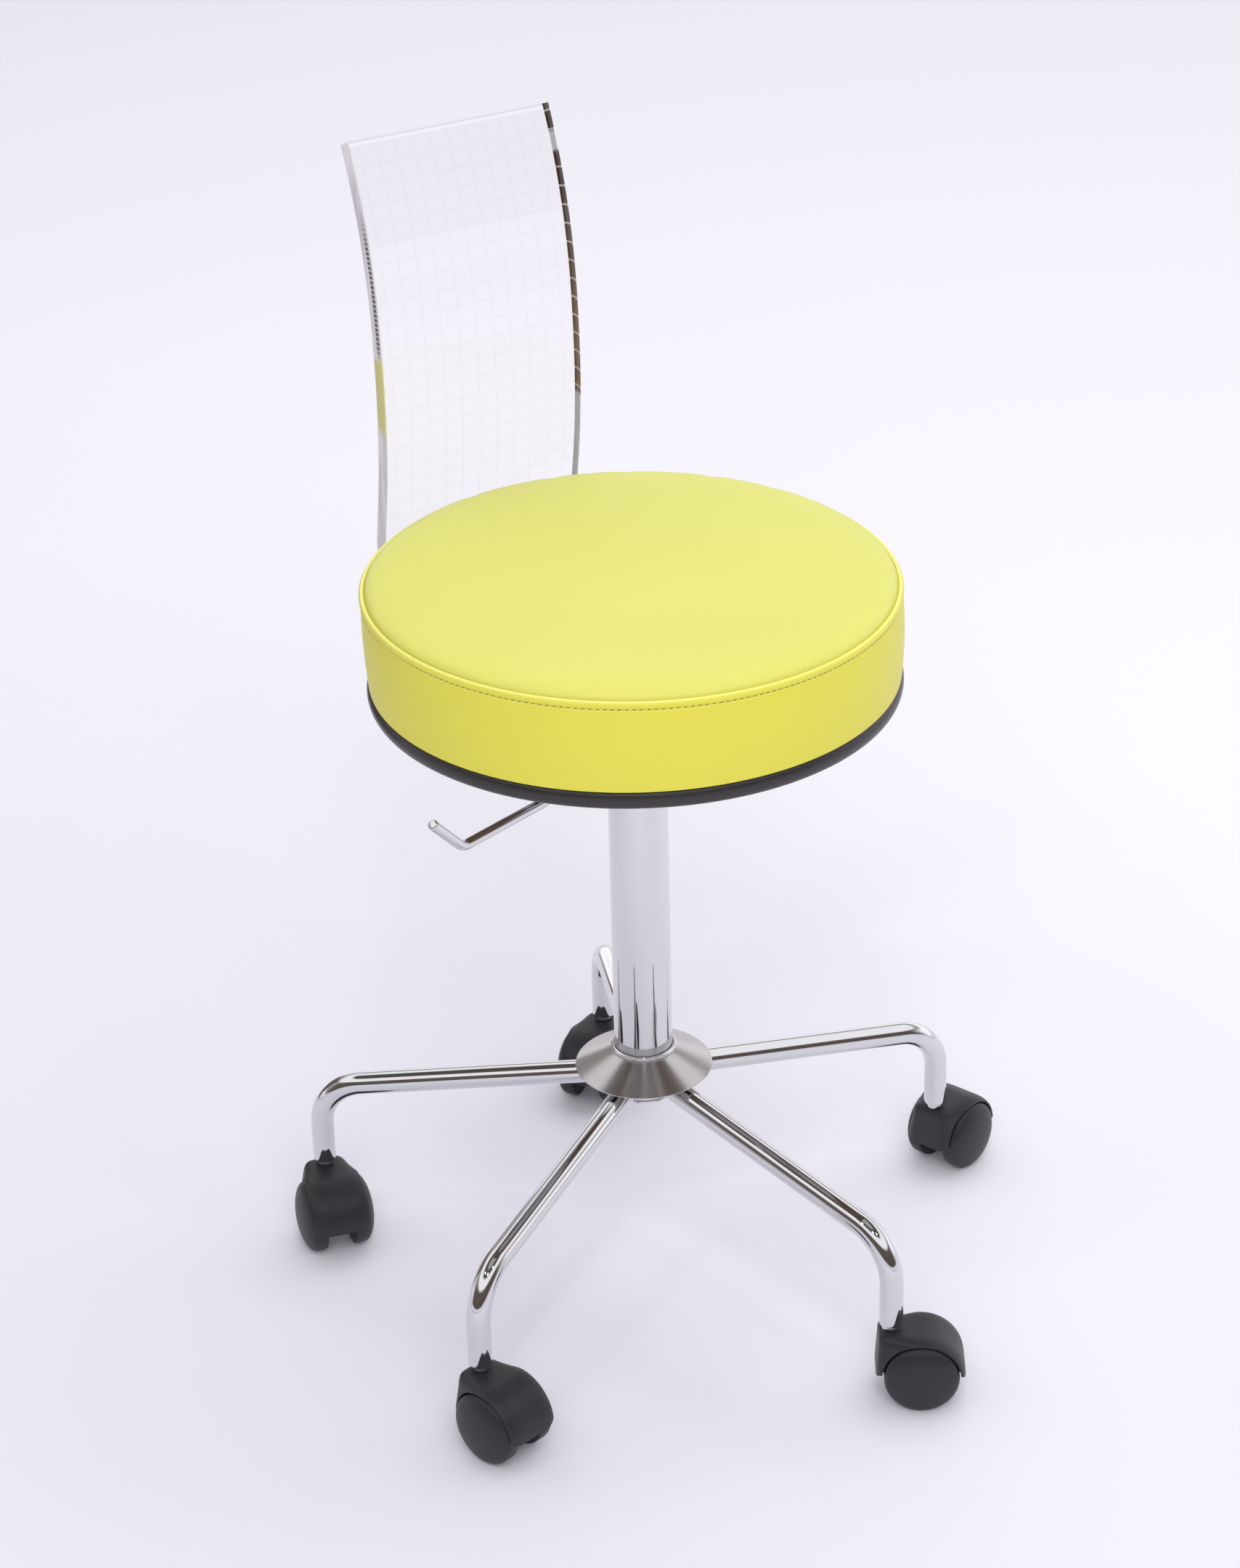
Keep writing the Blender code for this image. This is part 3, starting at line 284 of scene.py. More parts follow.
# The other cut edge, its look painted on: pale grey streaks and a line of dark dashes beside the front face
# as painted reflections, and a painted lime reflection of the cushion above the seat
def paleCut():
    edge = Finish("pale_edge", Specular_IOR_Level=0.4)
    u, v = edge.flat.parts()[:2]
    deep = abs(u) - rest["wide"] / 2
    share = (v - grid["firstRow"]) / (grid["pitch"] / 4)
    # The dark dashes and the grey streaks are painted reflections
    dash = abs(share - share.math("ROUND", share)).step(0.18, 0.28)
    zone = v.step(0.040, 0.075) * v.step(0.152, 0.138) * deep.step(0.0062, 0.0050) * deep.step(0.0006, 0.0012)
    streak = edge.place.stretched(60.0, 60.0, 12.0).noise(1.0, 3.0).step(0.35, 0.65)
    grey = streak.between(rgb(0.66, 0.64, 0.68), rgb(0.88, 0.86, 0.90))
    rim = 1 - deep.step(0.0003, 0.0010) * deep.step(0.0117, 0.0110)
    lined = (rim * 0.35).between(grey, rgb(0.34, 0.33, 0.36))
    dashed = (zone * (dash * 0.55 + 0.35)).between(lined, rgb(0.05, 0.045, 0.05))
    # Painted reflection of the lime cushion above the seat
    cushionReflection = v.step(0.145, 0.150) * v.step(0.208, 0.192)
    edge.feed("Base Color", (cushionReflection * 0.85).between(dashed, rgb(0.64, 0.62, 0.22)))
    edge.feed("Roughness", edge.place.noise(200.0, 2.0) * 0.1 + 0.15)
    return edge.material


chrome = chromePlate()
satin = satinChrome()
vinyl = limeVinyl()
nylon = mouldedPlastic("caster_nylon", (0.0125, 0.0122, 0.0165), 0.46, 1700.0)
stripPlastic = mouldedPlastic("edge_strip", (0.019, 0.0170, 0.0182), 0.34, 900.0)
steel = zincSteel()
ply = plyFace()
twine = sewingThread()
clear = clearSheet("clear_sheet", False)
lined = clearSheet("gridded_sheet", True)
brownReflectionEdge = brownReflectionCut()
paleEdge = paleCut()
print("finishes made")


# Rows x columns of points become quads; a wrapped direction joins its last line to its first
def gridMesh(name, points, finishes, wrapRows=False, wrapColumns=True, capped=False, kinds=None, uv=None,
             matrix=None, sharp=40.0):
    rows, columns = points.shape[:2]
    index = np.arange(rows * columns).reshape(rows, columns)
    ends = [index[0].tolist(), index[-1].tolist()] if capped else []
    if wrapRows:
        index = np.vstack([index, index[:1]])
    if wrapColumns:
        index = np.hstack([index, index[:, :1]])
    quads = np.stack([index[:-1, :-1], index[:-1, 1:], index[1:, 1:], index[1:, :-1]], axis=-1)
    mesh = bpy.data.meshes.new(name)
    mesh.from_pydata(points.reshape(-1, 3).tolist(), [], quads.reshape(-1, 4).tolist() + ends)
    for finish in finishes:
        mesh.materials.append(finish)
    if kinds is not None:
        finishOf = np.append(kinds.ravel(), [0] * len(ends)).astype(np.int32)
        mesh.polygons.foreach_set("material_index", finishOf)
    if uv is not None:
        corner = np.zeros(len(mesh.loops), np.int32)
        mesh.loops.foreach_get("vertex_index", corner)
        mesh.uv_layers.new(name="UVMap").data.foreach_set("uv", uv.reshape(-1, 2)[corner].ravel())
    closed = bmesh.new()
    closed.from_mesh(mesh)
    bmesh.ops.remove_doubles(closed, verts=closed.verts, dist=1e-7)
    bmesh.ops.recalc_face_normals(closed, faces=closed.faces)
    closed.to_mesh(mesh)
    closed.free()
    if matrix is not None:
        mesh.transform(matrix)
    mesh.shade_smooth()
    mesh.set_sharp_from_angle(angle=math.radians(sharp))
    return mesh


# A radius and height profile turned round Z; a ring's profile is a closed loop
def turned(name, profile, sides, finish, ring=False, matrix=None, sharp=40.0):
    profile = np.asarray(profile, float)
    angle = np.arange(sides) * tau / sides
    around = np.stack([np.cos(angle), np.sin(angle), np.zeros(sides)], axis=-1)
    points = profile[:, None, :1] * around + profile[:, None, 1:] * np.array([0.0, 0.0, 1.0])
    return gridMesh(name, points, [finish], wrapRows=ring, matrix=matrix, sharp=sharp)


# A round section of the given radii carried along a path that lies in the XZ plane
def piped(name, path, radii, sides, finish, sharp=50.0, matrix=None):
    ahead = np.gradient(path, axis=0)
    ahead /= np.linalg.norm(ahead, axis=1)[:, None]
    side = np.array([0.0, 1.0, 0.0])
    over = np.cross(ahead, side)
    angle = (np.arange(sides) * tau / sides)[None, :, None]
    points = path[:, None] + radii[:, None, None] * (np.cos(angle) * side + np.sin(angle) * over[:, None])
    return gridMesh(name, points, [finish], capped=True, sharp=sharp, matrix=matrix)


# Each inner corner of a line of points gives way to an arc-like curve of about the given radius
def rounded(corners, radius, steps=4, closed=False):
    corners = [np.array(c, float) for c in corners]
    line = [] if closed else [corners[0]]
    around = corners[-1:] + corners + corners[:1] if closed else corners
    share = np.linspace(0, 1, steps + 1)[:, None]
    for before, corner, after in zip(around, around[1:], around[2:]):
        back, on = before - corner, after - corner
        backSize, onSize = np.linalg.norm(back), np.linalg.norm(on)
        angle = math.acos(float(np.clip(back @ on / (backSize * onSize), -1, 1)))
        reach = min(radius / math.tan(angle / 2), backSize * 0.48, onSize * 0.48)
        start, end = corner + back / backSize * reach, corner + on / onSize * reach
        line.extend(start * (1 - share) ** 2 + corner * 2 * share * (1 - share) + end * share ** 2)
    if not closed:
        line.append(corners[-1])
    return np.array(line)


# Straight runs joined by true arcs of one radius, then cut into short steps
def bentPath(corners, radius, steps, spacing):
    corners = [np.array(c, float) for c in corners]
    path = [corners[0]]
    for before, corner, after in zip(corners, corners[1:], corners[2:]):
        into = (corner - before) / np.linalg.norm(corner - before)
        out = (after - corner) / np.linalg.norm(after - corner)
        bend = math.acos(float(into @ out))
        inward = out - into * float(into @ out)
        inward /= np.linalg.norm(inward)
        start = corner - into * radius * math.tan(bend / 2)
        turn = np.linspace(0, bend, steps)[:, None]
        path.extend(start + into * radius * np.sin(turn) + inward * radius * (1 - np.cos(turn)))
    path.append(corners[-1])
    path = np.array(path)
    run = np.concatenate([[0], np.cumsum(np.linalg.norm(np.diff(path, axis=0), axis=1))])
    extra = np.arange(spacing, run[-1], spacing)
    where = np.unique(np.round(np.concatenate([run, extra]), 6))
    where = where[np.concatenate([[True], np.diff(where) > spacing * 0.05])]
    return np.stack([np.interp(where, run, path[:, k]) for k in range(3)], axis=-1)


# A flat slab with rounded corners and softened edges, as rings of a rounded rectangle
def slab(name, low, high, corner, soft, finish, matrix=None):
    middle, half = (np.array(high) + low) / 2, (np.array(high) - low) / 2
    box = [(half[0], half[1]), (-half[0], half[1]), (-half[0], -half[1]), (half[0], -half[1])]
    outline = rounded(box, corner, 6, closed=True)
    inset = np.array([soft, soft * 0.3, 0.0, 0.0, soft * 0.3, soft])
    foot, head = low[2], high[2]
    level = np.array([foot, foot + soft * 0.3, foot + soft, head - soft, head - soft * 0.3, head])
    shrink = 1 - inset[:, None, None] / half[None, None, :2]
    flat = outline[None] * shrink + middle[:2]
    points = np.dstack([flat, np.broadcast_to(level[:, None], flat.shape[:2])])
    return gridMesh(name, points, [finish], capped=True, matrix=matrix)


def turnedBy(degrees, place=(0, 0, 0)):
    return Matrix.Translation(place) @ Matrix.Rotation(math.radians(degrees), 4, "Z")


alongY = Matrix.Rotation(math.radians(-90), 4, "X")


def copied(mesh, name, matrix):
    twin = mesh.copy()
    twin.name = name
    twin.transform(matrix)
    return twin


def placed(name, data):
    piece = bpy.data.objects.new(name, data)
    bpy.context.scene.collection.objects.link(piece)
    return piece


def shown(name, mesh, body, slotName, *nodes):
    piece = placed(name, mesh)
    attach(piece, body)
    if nodes:
        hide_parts(*nodes)
    return piece


def shownTurned(name, profile, sides, finish, body, slotName, *nodes, ring=True):
    return shown(name, turned(name, profile, sides, finish, ring=ring), body, slotName, *nodes)


def shownCopy(name, mesh, matrix, body, slotName, *nodes):
    return shown(name, copied(mesh, name, matrix), body, slotName, *nodes)


def raised(profile):
    return np.asarray(profile, float) + [0.0, floorLevel]


# Camera, floor and light; the view's own frame has the camera on -Y and is turned against the model
view = {"pitch": 27.928, "roll": -1.448, "turn": -29.21, "focal": 5222.78, "wide": 1708,
        "place": (-0.01162, -2.21385, 1.54845), "toCamera": (-0.4926, -0.8703)}
viewFrame = Matrix.Translation((0, 0, floorLevel)) @ turnedBy(view["turn"])


def makeCamera():
    pitch, roll = math.radians(view["pitch"]), math.radians(view["roll"])
    back = Vector((0, -math.cos(pitch), math.sin(pitch)))
    right = Vector((1, 0, 0))
    up = back.cross(right)
    across = right * math.cos(roll) + up * math.sin(roll)
    upward = up * math.cos(roll) - right * math.sin(roll)
    pose = Matrix((across, upward, back)).transposed().to_4x4()
    pose.translation = Vector(view["place"])
    data = bpy.data.cameras.new("photo_camera")
    data.sensor_fit = "HORIZONTAL"
    data.sensor_width = 36.0
    data.lens = 36.0 * view["focal"] / view["wide"]
    data.clip_end = 100.0
    camera = placed("photo_camera", data)
    camera.matrix_world = viewFrame @ pose
    bpy.context.scene.camera = camera


# A wide disc of paper with painted shade: darker in front and to the left and paler towards the back and the
# right, standing in for the light's falloff
def makeFloor():
    paper = Finish("paper_floor", Roughness=0.7, Specular_IOR_Level=0.2)
    x, y = paper.place.parts()[:2]
    # Painted shade: the paper darkens towards the front and the left
    behind = (x * 1.10 + y * 0.53 + paper.place.noise(1.2, 3.0) * 0.4).step(-0.45, 1.65)
    paper.feed("Base Color", behind.between(rgb(0.748, 0.751, 0.840), rgb(0.915, 0.906, 0.980)))
    paper.bump(paper.place.noise(300.0, 2.0), 0.0002, 0.2)
    radius = np.array([0.0, 3.0, 9.0])
    disc = turned("floor", np.stack([radius, radius * 0 + floorLevel], 1), 96, paper.material)
    floor = placed("floor", disc)


# Pale near the horizon; above it a bright screen behind the stool, a dim room behind the camera and a pale
# ceiling with a dark ring, for the chrome to reflect
def makeRoom():
    world = bpy.data.worlds.new("studio")
    bpy.context.scene.world = world
    world.use_nodes = True
    tree = world.node_tree
    x, y, z = Wire(tree, tree.nodes.new("ShaderNodeTexCoord").outputs["Generated"]).parts()
    towardX, towardY = view["toCamera"]
    toward = (x * towardX + y * towardY).step(-0.30, 0.35)
    screen = toward.between(rgb(1.10, 1.08, 1.12), rgb(0.095, 0.078, 0.068))
    wall = toward.between(rgb(0.36, 0.34, 0.34), rgb(0.110, 0.088, 0.075))
    across = x * -towardY + y * towardX
    around = (z - across * 0.14).step(0.22, 0.40).between(screen, wall)
    above = z.step(0.52, 0.64).between(around, rgb(0.92, 0.91, 0.94))
    ring = z.step(0.80, 0.87).between(above, rgb(0.080, 0.070, 0.064))
    room = z.step(0.94, 0.985).between(ring, rgb(0.36, 0.34, 0.33))
    room = z.step(0.06, 0.11).between(rgb(0.70, 0.69, 0.74), room)
    tree.links.new(room.socket, tree.nodes["Background"].inputs["Color"])
    tree.nodes["Background"].inputs["Strength"].default_value = 1.25


def makeLamp(name, place, aim, size, power, colour, mirrored):
    data = bpy.data.lights.new(name, "AREA")
    data.shape = "DISK"
    data.size = size
    data.energy = power
    data.color = colour
    lamp = placed(name, data)
    lamp.visible_glossy = mirrored
    lamp.location = viewFrame @ Vector(place)
    lamp.rotation_euler = (viewFrame @ Vector(aim) - lamp.location).to_track_quat("-Z", "Y").to_euler()


# A low brown panel beside the paper, which only reflections pick up
def makePanel():
    wood = Finish("brown_panel", Roughness=0.6)
    streak = wood.place.stretched(3.0, 3.0, 40.0).noise(1.0, 4.0)
    wood.feed("Base Color", streak.between(rgb(0.10, 0.065, 0.045), rgb(0.17, 0.115, 0.075)))
    left, near, far, tall = -0.95, 0.35, 1.9, 0.62
    corner = np.array([[(left, near, 0.0), (left, far, 0.0)], [(left, near, tall), (left, far, tall)]])
    mesh = gridMesh("side_panel", corner, [wood.material], wrapColumns=False, matrix=viewFrame)
    panel = placed("side_panel", mesh)
    for ray in ("camera", "transmission", "diffuse", "shadow"):
        setattr(panel, "visible_" + ray, False)


makeCamera()
makeFloor()
makePanel()
makeRoom()
makeLamp("overhead", (1.0, 1.4, 5.0), (0, 0.6, 0), 5.0, 92.0, (0.97, 1.0, 1.0), False)
makeLamp("front_soft", (0.2, -2.8, 2.4), (0, 0, 0.4), 2.4, 54.0, (1.0, 0.98, 0.955), False)
makeLamp("ceiling_left", (-1.1, -0.9, 2.8), (0, 0, 0.1), 0.16, 2.5, (1.0, 0.93, 0.80), True)
makeLamp("ceiling_right", (1.0, -1.1, 2.8), (0, 0, 0.1), 0.16, 2.5, (1.0, 0.93, 0.80), True)
makeLamp("ceiling_middle", (0.02, -1.6, 2.9), (0, 0, 0.1), 0.22, 4.0, (1.0, 0.95, 0.86), True)
bpy.context.scene.view_settings.view_transform = "Standard"
print("stage made")


# Radius and height of the cover: a parabola that ends in a quarter ellipse, seam groove, folded ridge,
# sewn strip, drawn-in side, underside; slack lowers the parabola before the cover is swelled
def cushionProfile(slack):
    rim, seam = seat["radius"], seat["seam"]
    edge = rim + sewnLine[0][0]
    turn = np.linspace(0, math.pi / 2, 12)
    flat = np.linspace(0, 1, 30)[:-1] ** 0.8 * (edge - seat["rollWide"])
    radius = np.concatenate([flat, edge - seat["rollWide"] * (1 - np.sin(turn))])
    fall = np.concatenate([flat * 0 + 1, np.cos(turn)])
    crown = (seat["crown"] - slack) * (1 - (radius / edge) ** 2)
    top = np.stack([radius, seam - seat["sink"] + seat["roll"] * fall + crown], 1)
    sewn = rounded(np.array(sewnLine) + [rim, seam], 0.0010, 3)
    share = np.linspace(0, 1, 20)[1:]
    out, down = sewnLine[-1]
    height = seam + down + (seat["base"] - seam - down) * share
    side = np.stack([rim + out - seat["taper"] * share + seat["bulge"] * np.sin(math.pi * share), height], 1)
    under = np.array([(seat["recess"] + 0.002, seat["base"]), (seat["recess"], seat["base"]),
                      (seat["recess"], seat["boardTop"]), (0.09, seat["boardTop"]), (0.0, seat["boardTop"])])
    return raised(np.vstack([top, sewn[1:], side, under]))


# The soft block stands a little off the upright: a shift, and a tilt to its high side, that grow with height
def leant(points):
    share = np.clip((points[..., 2:] - floorLevel - seat["base"]) / (seat["seam"] - seat["base"]), 0, 1) ** 2
    x, y = seat["lean"]
    rise = (points[..., :1] * x + points[..., 1:2] * y) * seat["tilt"] / seat["radius"]
    return points + share * np.concatenate([rise * 0 + x, rise * 0 + y, rise], axis=-1)


cover = {"quality": 8, "mass": 0.3, "tension_stiffness": 60.0, "compression_stiffness": 40.0,
         "shear_stiffness": 20.0, "bending_stiffness": 4.0, "use_pressure": True, "vertex_group_mass": "held"}


# Cloth under pressure, held at the sewn strip and underneath and borne up by the foam elsewhere, as weak
# springs to where it lies; no point moves further than the cap
def inflate(piece, held, foam, pressure, cap):
    mesh = piece.data
    start = np.zeros(len(mesh.vertices) * 3)
    mesh.vertices.foreach_get("co", start)
    group = piece.vertex_groups.new(name="held")
    group.add(list(range(len(mesh.vertices))), foam, "REPLACE")
    group.add(held.tolist(), 1.0, "REPLACE")
    cloth = piece.modifiers.new("stuffing", "CLOTH")
    for key, value in cover.items():
        setattr(cloth.settings, key, value)
    cloth.settings.uniform_pressure_force = pressure
    cloth.settings.effector_weights.gravity = 0.0
    cloth.collision_settings.use_collision = False
    for number in range(1, seat["steps"] + 1):
        bpy.context.scene.frame_set(number)
    graph = bpy.context.evaluated_depsgraph_get()
    end = np.zeros(len(start))
    piece.evaluated_get(graph).data.vertices.foreach_get("co", end)
    move = (end - start).reshape(-1, 3)
    size = np.linalg.norm(move, axis=1)
    move *= np.minimum(1.0, cap / np.maximum(size, 1e-9))[:, None]
    piece.modifiers.remove(cloth)
    piece.vertex_groups.remove(group)
    mesh.vertices.foreach_set("co", start + move.ravel())
    mesh.update()
    bpy.context.scene.frame_set(1)
    print("cushion swelled by", round(size.max() * 1000, 2), "mm, kept to", cap * 1000)


def makeCushion():
    slack = seat["swell"] * 0.6
    mesh = turned("seat_cushion_soft", cushionProfile(slack), seat["sectors"], vinyl, sharp=80.0)
    piece = shown("seat_cushion_soft", mesh, "seat", "lime_vinyl", "seat_cushion")
    place = np.zeros(len(mesh.vertices) * 3)
    if slack:
        mesh.vertices.foreach_get("co", place)
        x, y, z = place.reshape(-1, 3).T
        radius, height = np.hypot(x, y), z - floorLevel
        sewn = (radius > seat["radius"] - seat["heldWide"]) & (height > seat["seam"] - seat["heldDeep"])
        sewn &= height < seat["seam"]
        held = np.nonzero(sewn | (height < seat["base"] + seat["heldFoot"]))[0]
        inflate(piece, held, seat["foam"], seat["pressure"], seat["swell"])
    mesh.vertices.foreach_get("co", place)
    mesh.vertices.foreach_set("co", leant(place.reshape(-1, 3)).ravel())
    mesh.update()


# Short swollen capsules round the seat: a circle whose radius closes at both ends, bowed into the cover
def makeStitching():
    middle = (np.arange(stitch["count"]) * tau / stitch["count"])[:, None, None]
    along = np.linspace(-1, 1, 7)[None, :, None]
    turn = (np.arange(6) * tau / 6)[None, None, :]
    swell = stitch["thick"] * np.sqrt(1 - 0.96 * along ** 2)
    radius = seat["radius"] - 0.0010 - 0.0005 * along ** 2 + swell * np.cos(turn) + middle * 0
    angle = middle + along * stitch["length"] / 2 / seat["radius"] + turn * 0
    height = stitch["height"] + floorLevel + swell * np.sin(turn) + 0.0003 * along + middle * 0
    points = leant(np.stack([radius * np.cos(angle), radius * np.sin(angle), height], axis=-1))
    joined = bmesh.new()
    for one in points:
        joined.from_mesh(gridMesh("stitch", one, [twine], capped=True, sharp=80.0))
    mesh = bpy.data.meshes.new("seat_stitching")
    joined.to_mesh(mesh)
    joined.free()
    mesh.materials.append(twine)
    mesh.shade_smooth()
    shown("seat_stitching", mesh, "seat", "lime_vinyl")


trim = {"bore": 0.1683, "radius": 0.1746, "low": 0.4483, "notch": 0.4507, "high": 0.4602, "clear": 28.0,
        "ease": 2.0, "bulge": 0.004, "sides": 192}


# A half-round strip that hangs a little below the board, but is cut away over the backrest's tongue
def makeTrim():
    bore, bulge, sides = trim["bore"], trim["bulge"], trim["sides"]
    angle = np.linspace(math.pi / 2, -math.pi / 2, 21)
    outside = np.stack([trim["radius"] - bulge + bulge * np.cos(angle), np.sin(angle)], 1)
    loop = np.vstack([[(bore, 1.0)], outside, [(bore, -1.0)]])
    turn = np.arange(sides) * tau / sides
    away = np.degrees(np.abs((turn - math.pi / 2 + math.pi) % tau - math.pi))
    low = np.interp(away, [trim["clear"], trim["clear"] + trim["ease"]], [trim["notch"], trim["low"]])
    half, middle = (trim["high"] - low) / 2, (trim["high"] + low) / 2 + floorLevel
    height = middle + half * loop[:, 1:]
    points = np.stack([loop[:, :1] * np.cos(turn), loop[:, :1] * np.sin(turn), height], axis=-1)
    mesh = gridMesh("edge_trim_strip", points, [stripPlastic], wrapRows=True, sharp=40.0)
    shown("edge_trim_strip", mesh, "seat", "black_trim", "edge_trim")


board = {"radius": 0.168, "low": 0.4507, "high": 0.4627}


def makeBoard():
    low, high, radius = board["low"], board["high"], board["radius"]
    profile = raised(rounded([(0, high), (radius, high), (radius, low), (0, low)], 0.0015, 3))
    shownTurned("seat_board_ply", profile, 128, ply, "seat", "plywood", "seat_board", ring=False)


makeCushion()
makeStitching()
makeTrim()
makeBoard()
print("seat made")


# The backrest's front face seen from the side: flat tongue, bend, straight, then three arcs; y, z and heading
# of each point
def backrestLine():
    lean, middle, top = (math.radians(rest[key]) for key in ("lean", "middleTilt", "topTilt"))
    kneeY = rest["waistY"] + rest["lower"] * (1 - math.cos(lean))
    kneeZ = rest["waistZ"] - rest["lower"] * math.sin(lean)
    straight = (kneeZ - rest["top"] - rest["bend"] * (1 + math.sin(lean))) / math.cos(lean)
    bendY = kneeY + straight * math.sin(lean) - rest["bend"] * math.cos(lean)
    y = np.linspace(rest["tongue"], bendY, 8)[:-1]
    tongue = np.stack([y, y * 0 + rest["top"], y * 0], 1)
    a = np.linspace(0, math.pi / 2 + lean, 29)
    bend = np.stack([bendY + rest["bend"] * np.sin(a), rest["top"] + rest["bend"] * (1 - np.cos(a)), a], 1)
    a = np.linspace(lean, 0, 17)[:-1]
    lower = np.stack([rest["waistY"] + rest["lower"] * (1 - np.cos(a)),
                      rest["waistZ"] - rest["lower"] * np.sin(a), math.pi / 2 + a], 1)
    a = np.linspace(0, middle, 11)
    mid = np.stack([rest["waistY"] + rest["middle"] * (1 - np.cos(a)),
                    rest["waistZ"] + rest["middle"] * np.sin(a), math.pi / 2 - a], 1)
    a = np.linspace(middle, top, 25)[1:]
    upper = np.stack([mid[-1, 0] + rest["upper"] * (math.cos(middle) - np.cos(a)),
                      mid[-1, 1] + rest["upper"] * (np.sin(a) - math.sin(middle)), math.pi / 2 - a], 1)
    return np.vstack([tongue, bend, lower, mid, upper])


# A rounded slab section carried along that line; at the ends it shrinks by the edge rounding
def makeBackrest():
    line = backrestLine()
    half, thick, soft = rest["wide"] / 2, rest["thick"], rest["soft"]
    run = np.concatenate([[0], np.cumsum(np.hypot(*np.diff(line[:, :2], axis=0).T))])
    face = np.linspace(-half + soft, half - soft, 13)
    quarter = np.linspace(0, math.pi / 2, 5)[1:-1]
    front = np.stack([face, face * 0], 1)
    sine, cosine = soft * np.sin(quarter), soft * np.cos(quarter)
    right = np.vstack([np.stack([half - soft + sine, soft - cosine], 1), [(half, soft), (half, thick - soft)],
                       np.stack([half - soft + cosine, thick - soft + sine], 1)])
    back = np.stack([face[::-1], face * 0 + thick], 1)
    left = right[::-1] * [-1, 1]
    section = np.vstack([front, right, back, left])
    broad, narrow = len(face) - 1, len(right) + 1
    zone = np.repeat([1, 2, 0, 3], [broad, narrow, broad, narrow])
    easing = np.linspace(0, math.pi / 2, 5)[1:]
    shrink, slide = soft * (1 - np.cos(easing)), soft * (1 - np.sin(easing))
    plain = np.zeros(len(line) - 2)
    inset = np.concatenate([shrink[::-1], plain, shrink])
    shift = np.concatenate([slide[::-1], plain, -slide])
    last = len(line) - 1
    pick = np.concatenate([[0] * len(easing), np.arange(1, last), [last] * len(easing)])
    y, z, heading = (line[pick, k][:, None] for k in range(3))
    x = np.clip(section[None, :, 0], -half + inset[:, None], half - inset[:, None])
    deep = np.clip(section[None, :, 1], inset[:, None], thick - inset[:, None])
    points = np.stack([x, y + shift[:, None] * np.cos(heading) + deep * np.sin(heading),
                       z + shift[:, None] * np.sin(heading) - deep * np.cos(heading) + floorLevel], axis=-1)
    atEdge = np.abs(section[:, 0]) > half - soft * 1.01
    unrolled = section[:, 0] + np.sign(section[:, 0]) * section[:, 1] * atEdge
    uv = np.stack([np.broadcast_to(unrolled[None], x.shape), run[-1] - run[pick][:, None] - x * 0], axis=-1)
    kinds = np.broadcast_to(zone, (len(pick) - 1, len(section)))
    finishes = [clear, lined, brownReflectionEdge, paleEdge]
    mesh = gridMesh("backrest_sheet", points, finishes, capped=True, kinds=kinds, uv=uv, sharp=50.0)
    shown("backrest_sheet", mesh, "seat", "clear_sheet", "backrest")


makeBackrest()
print("backrest made")


column = {"radius": 0.020, "wall": 0.002, "low": 0.1408, "high": 0.3708, "sides": 144}
bush = {"inner": 0.0143, "outer": 0.0177, "flange": 0.0197, "low": 0.2908, "shoulder": 0.3711, "high": 0.3738}


def makeColumn():
    inner, outer = column["radius"] - column["wall"], column["radius"]
    low, high = column["low"], column["high"]
    tube = raised(rounded([(inner, low), (outer, low), (outer, high), (inner, high)], 0.0007, 3))
    shownTurned("column_shell", tube, column["sides"], chrome, "base", "chrome", "column_tube")
    inner, outer, flange = bush["inner"], bush["outer"], bush["flange"]
    low, shoulder, high = bush["low"], bush["shoulder"], bush["high"]
    loop = [(inner, low), (inner, high), (flange, high), (flange, shoulder), (outer, shoulder), (outer, low)]
    loop = raised(rounded(loop, 0.0008, 3, closed=True))
    shownTurned("guide_bush_ring", loop, 96, nylon, "base", "black_plastic", "guide_bush")


hub = {"rim": 0.047, "rimHeight": 0.159, "rise": 0.0127, "bore": 0.0203, "sheet": 0.0012, "bead": 0.0017}
sleeve = {"inner": 0.0203, "outer": 0.0223, "low": 0.1408, "high": 0.160}
cap = {"plug": 0.0177, "radius": 0.0223, "low": 0.1385, "shoulder": 0.1405, "high": 0.1417}


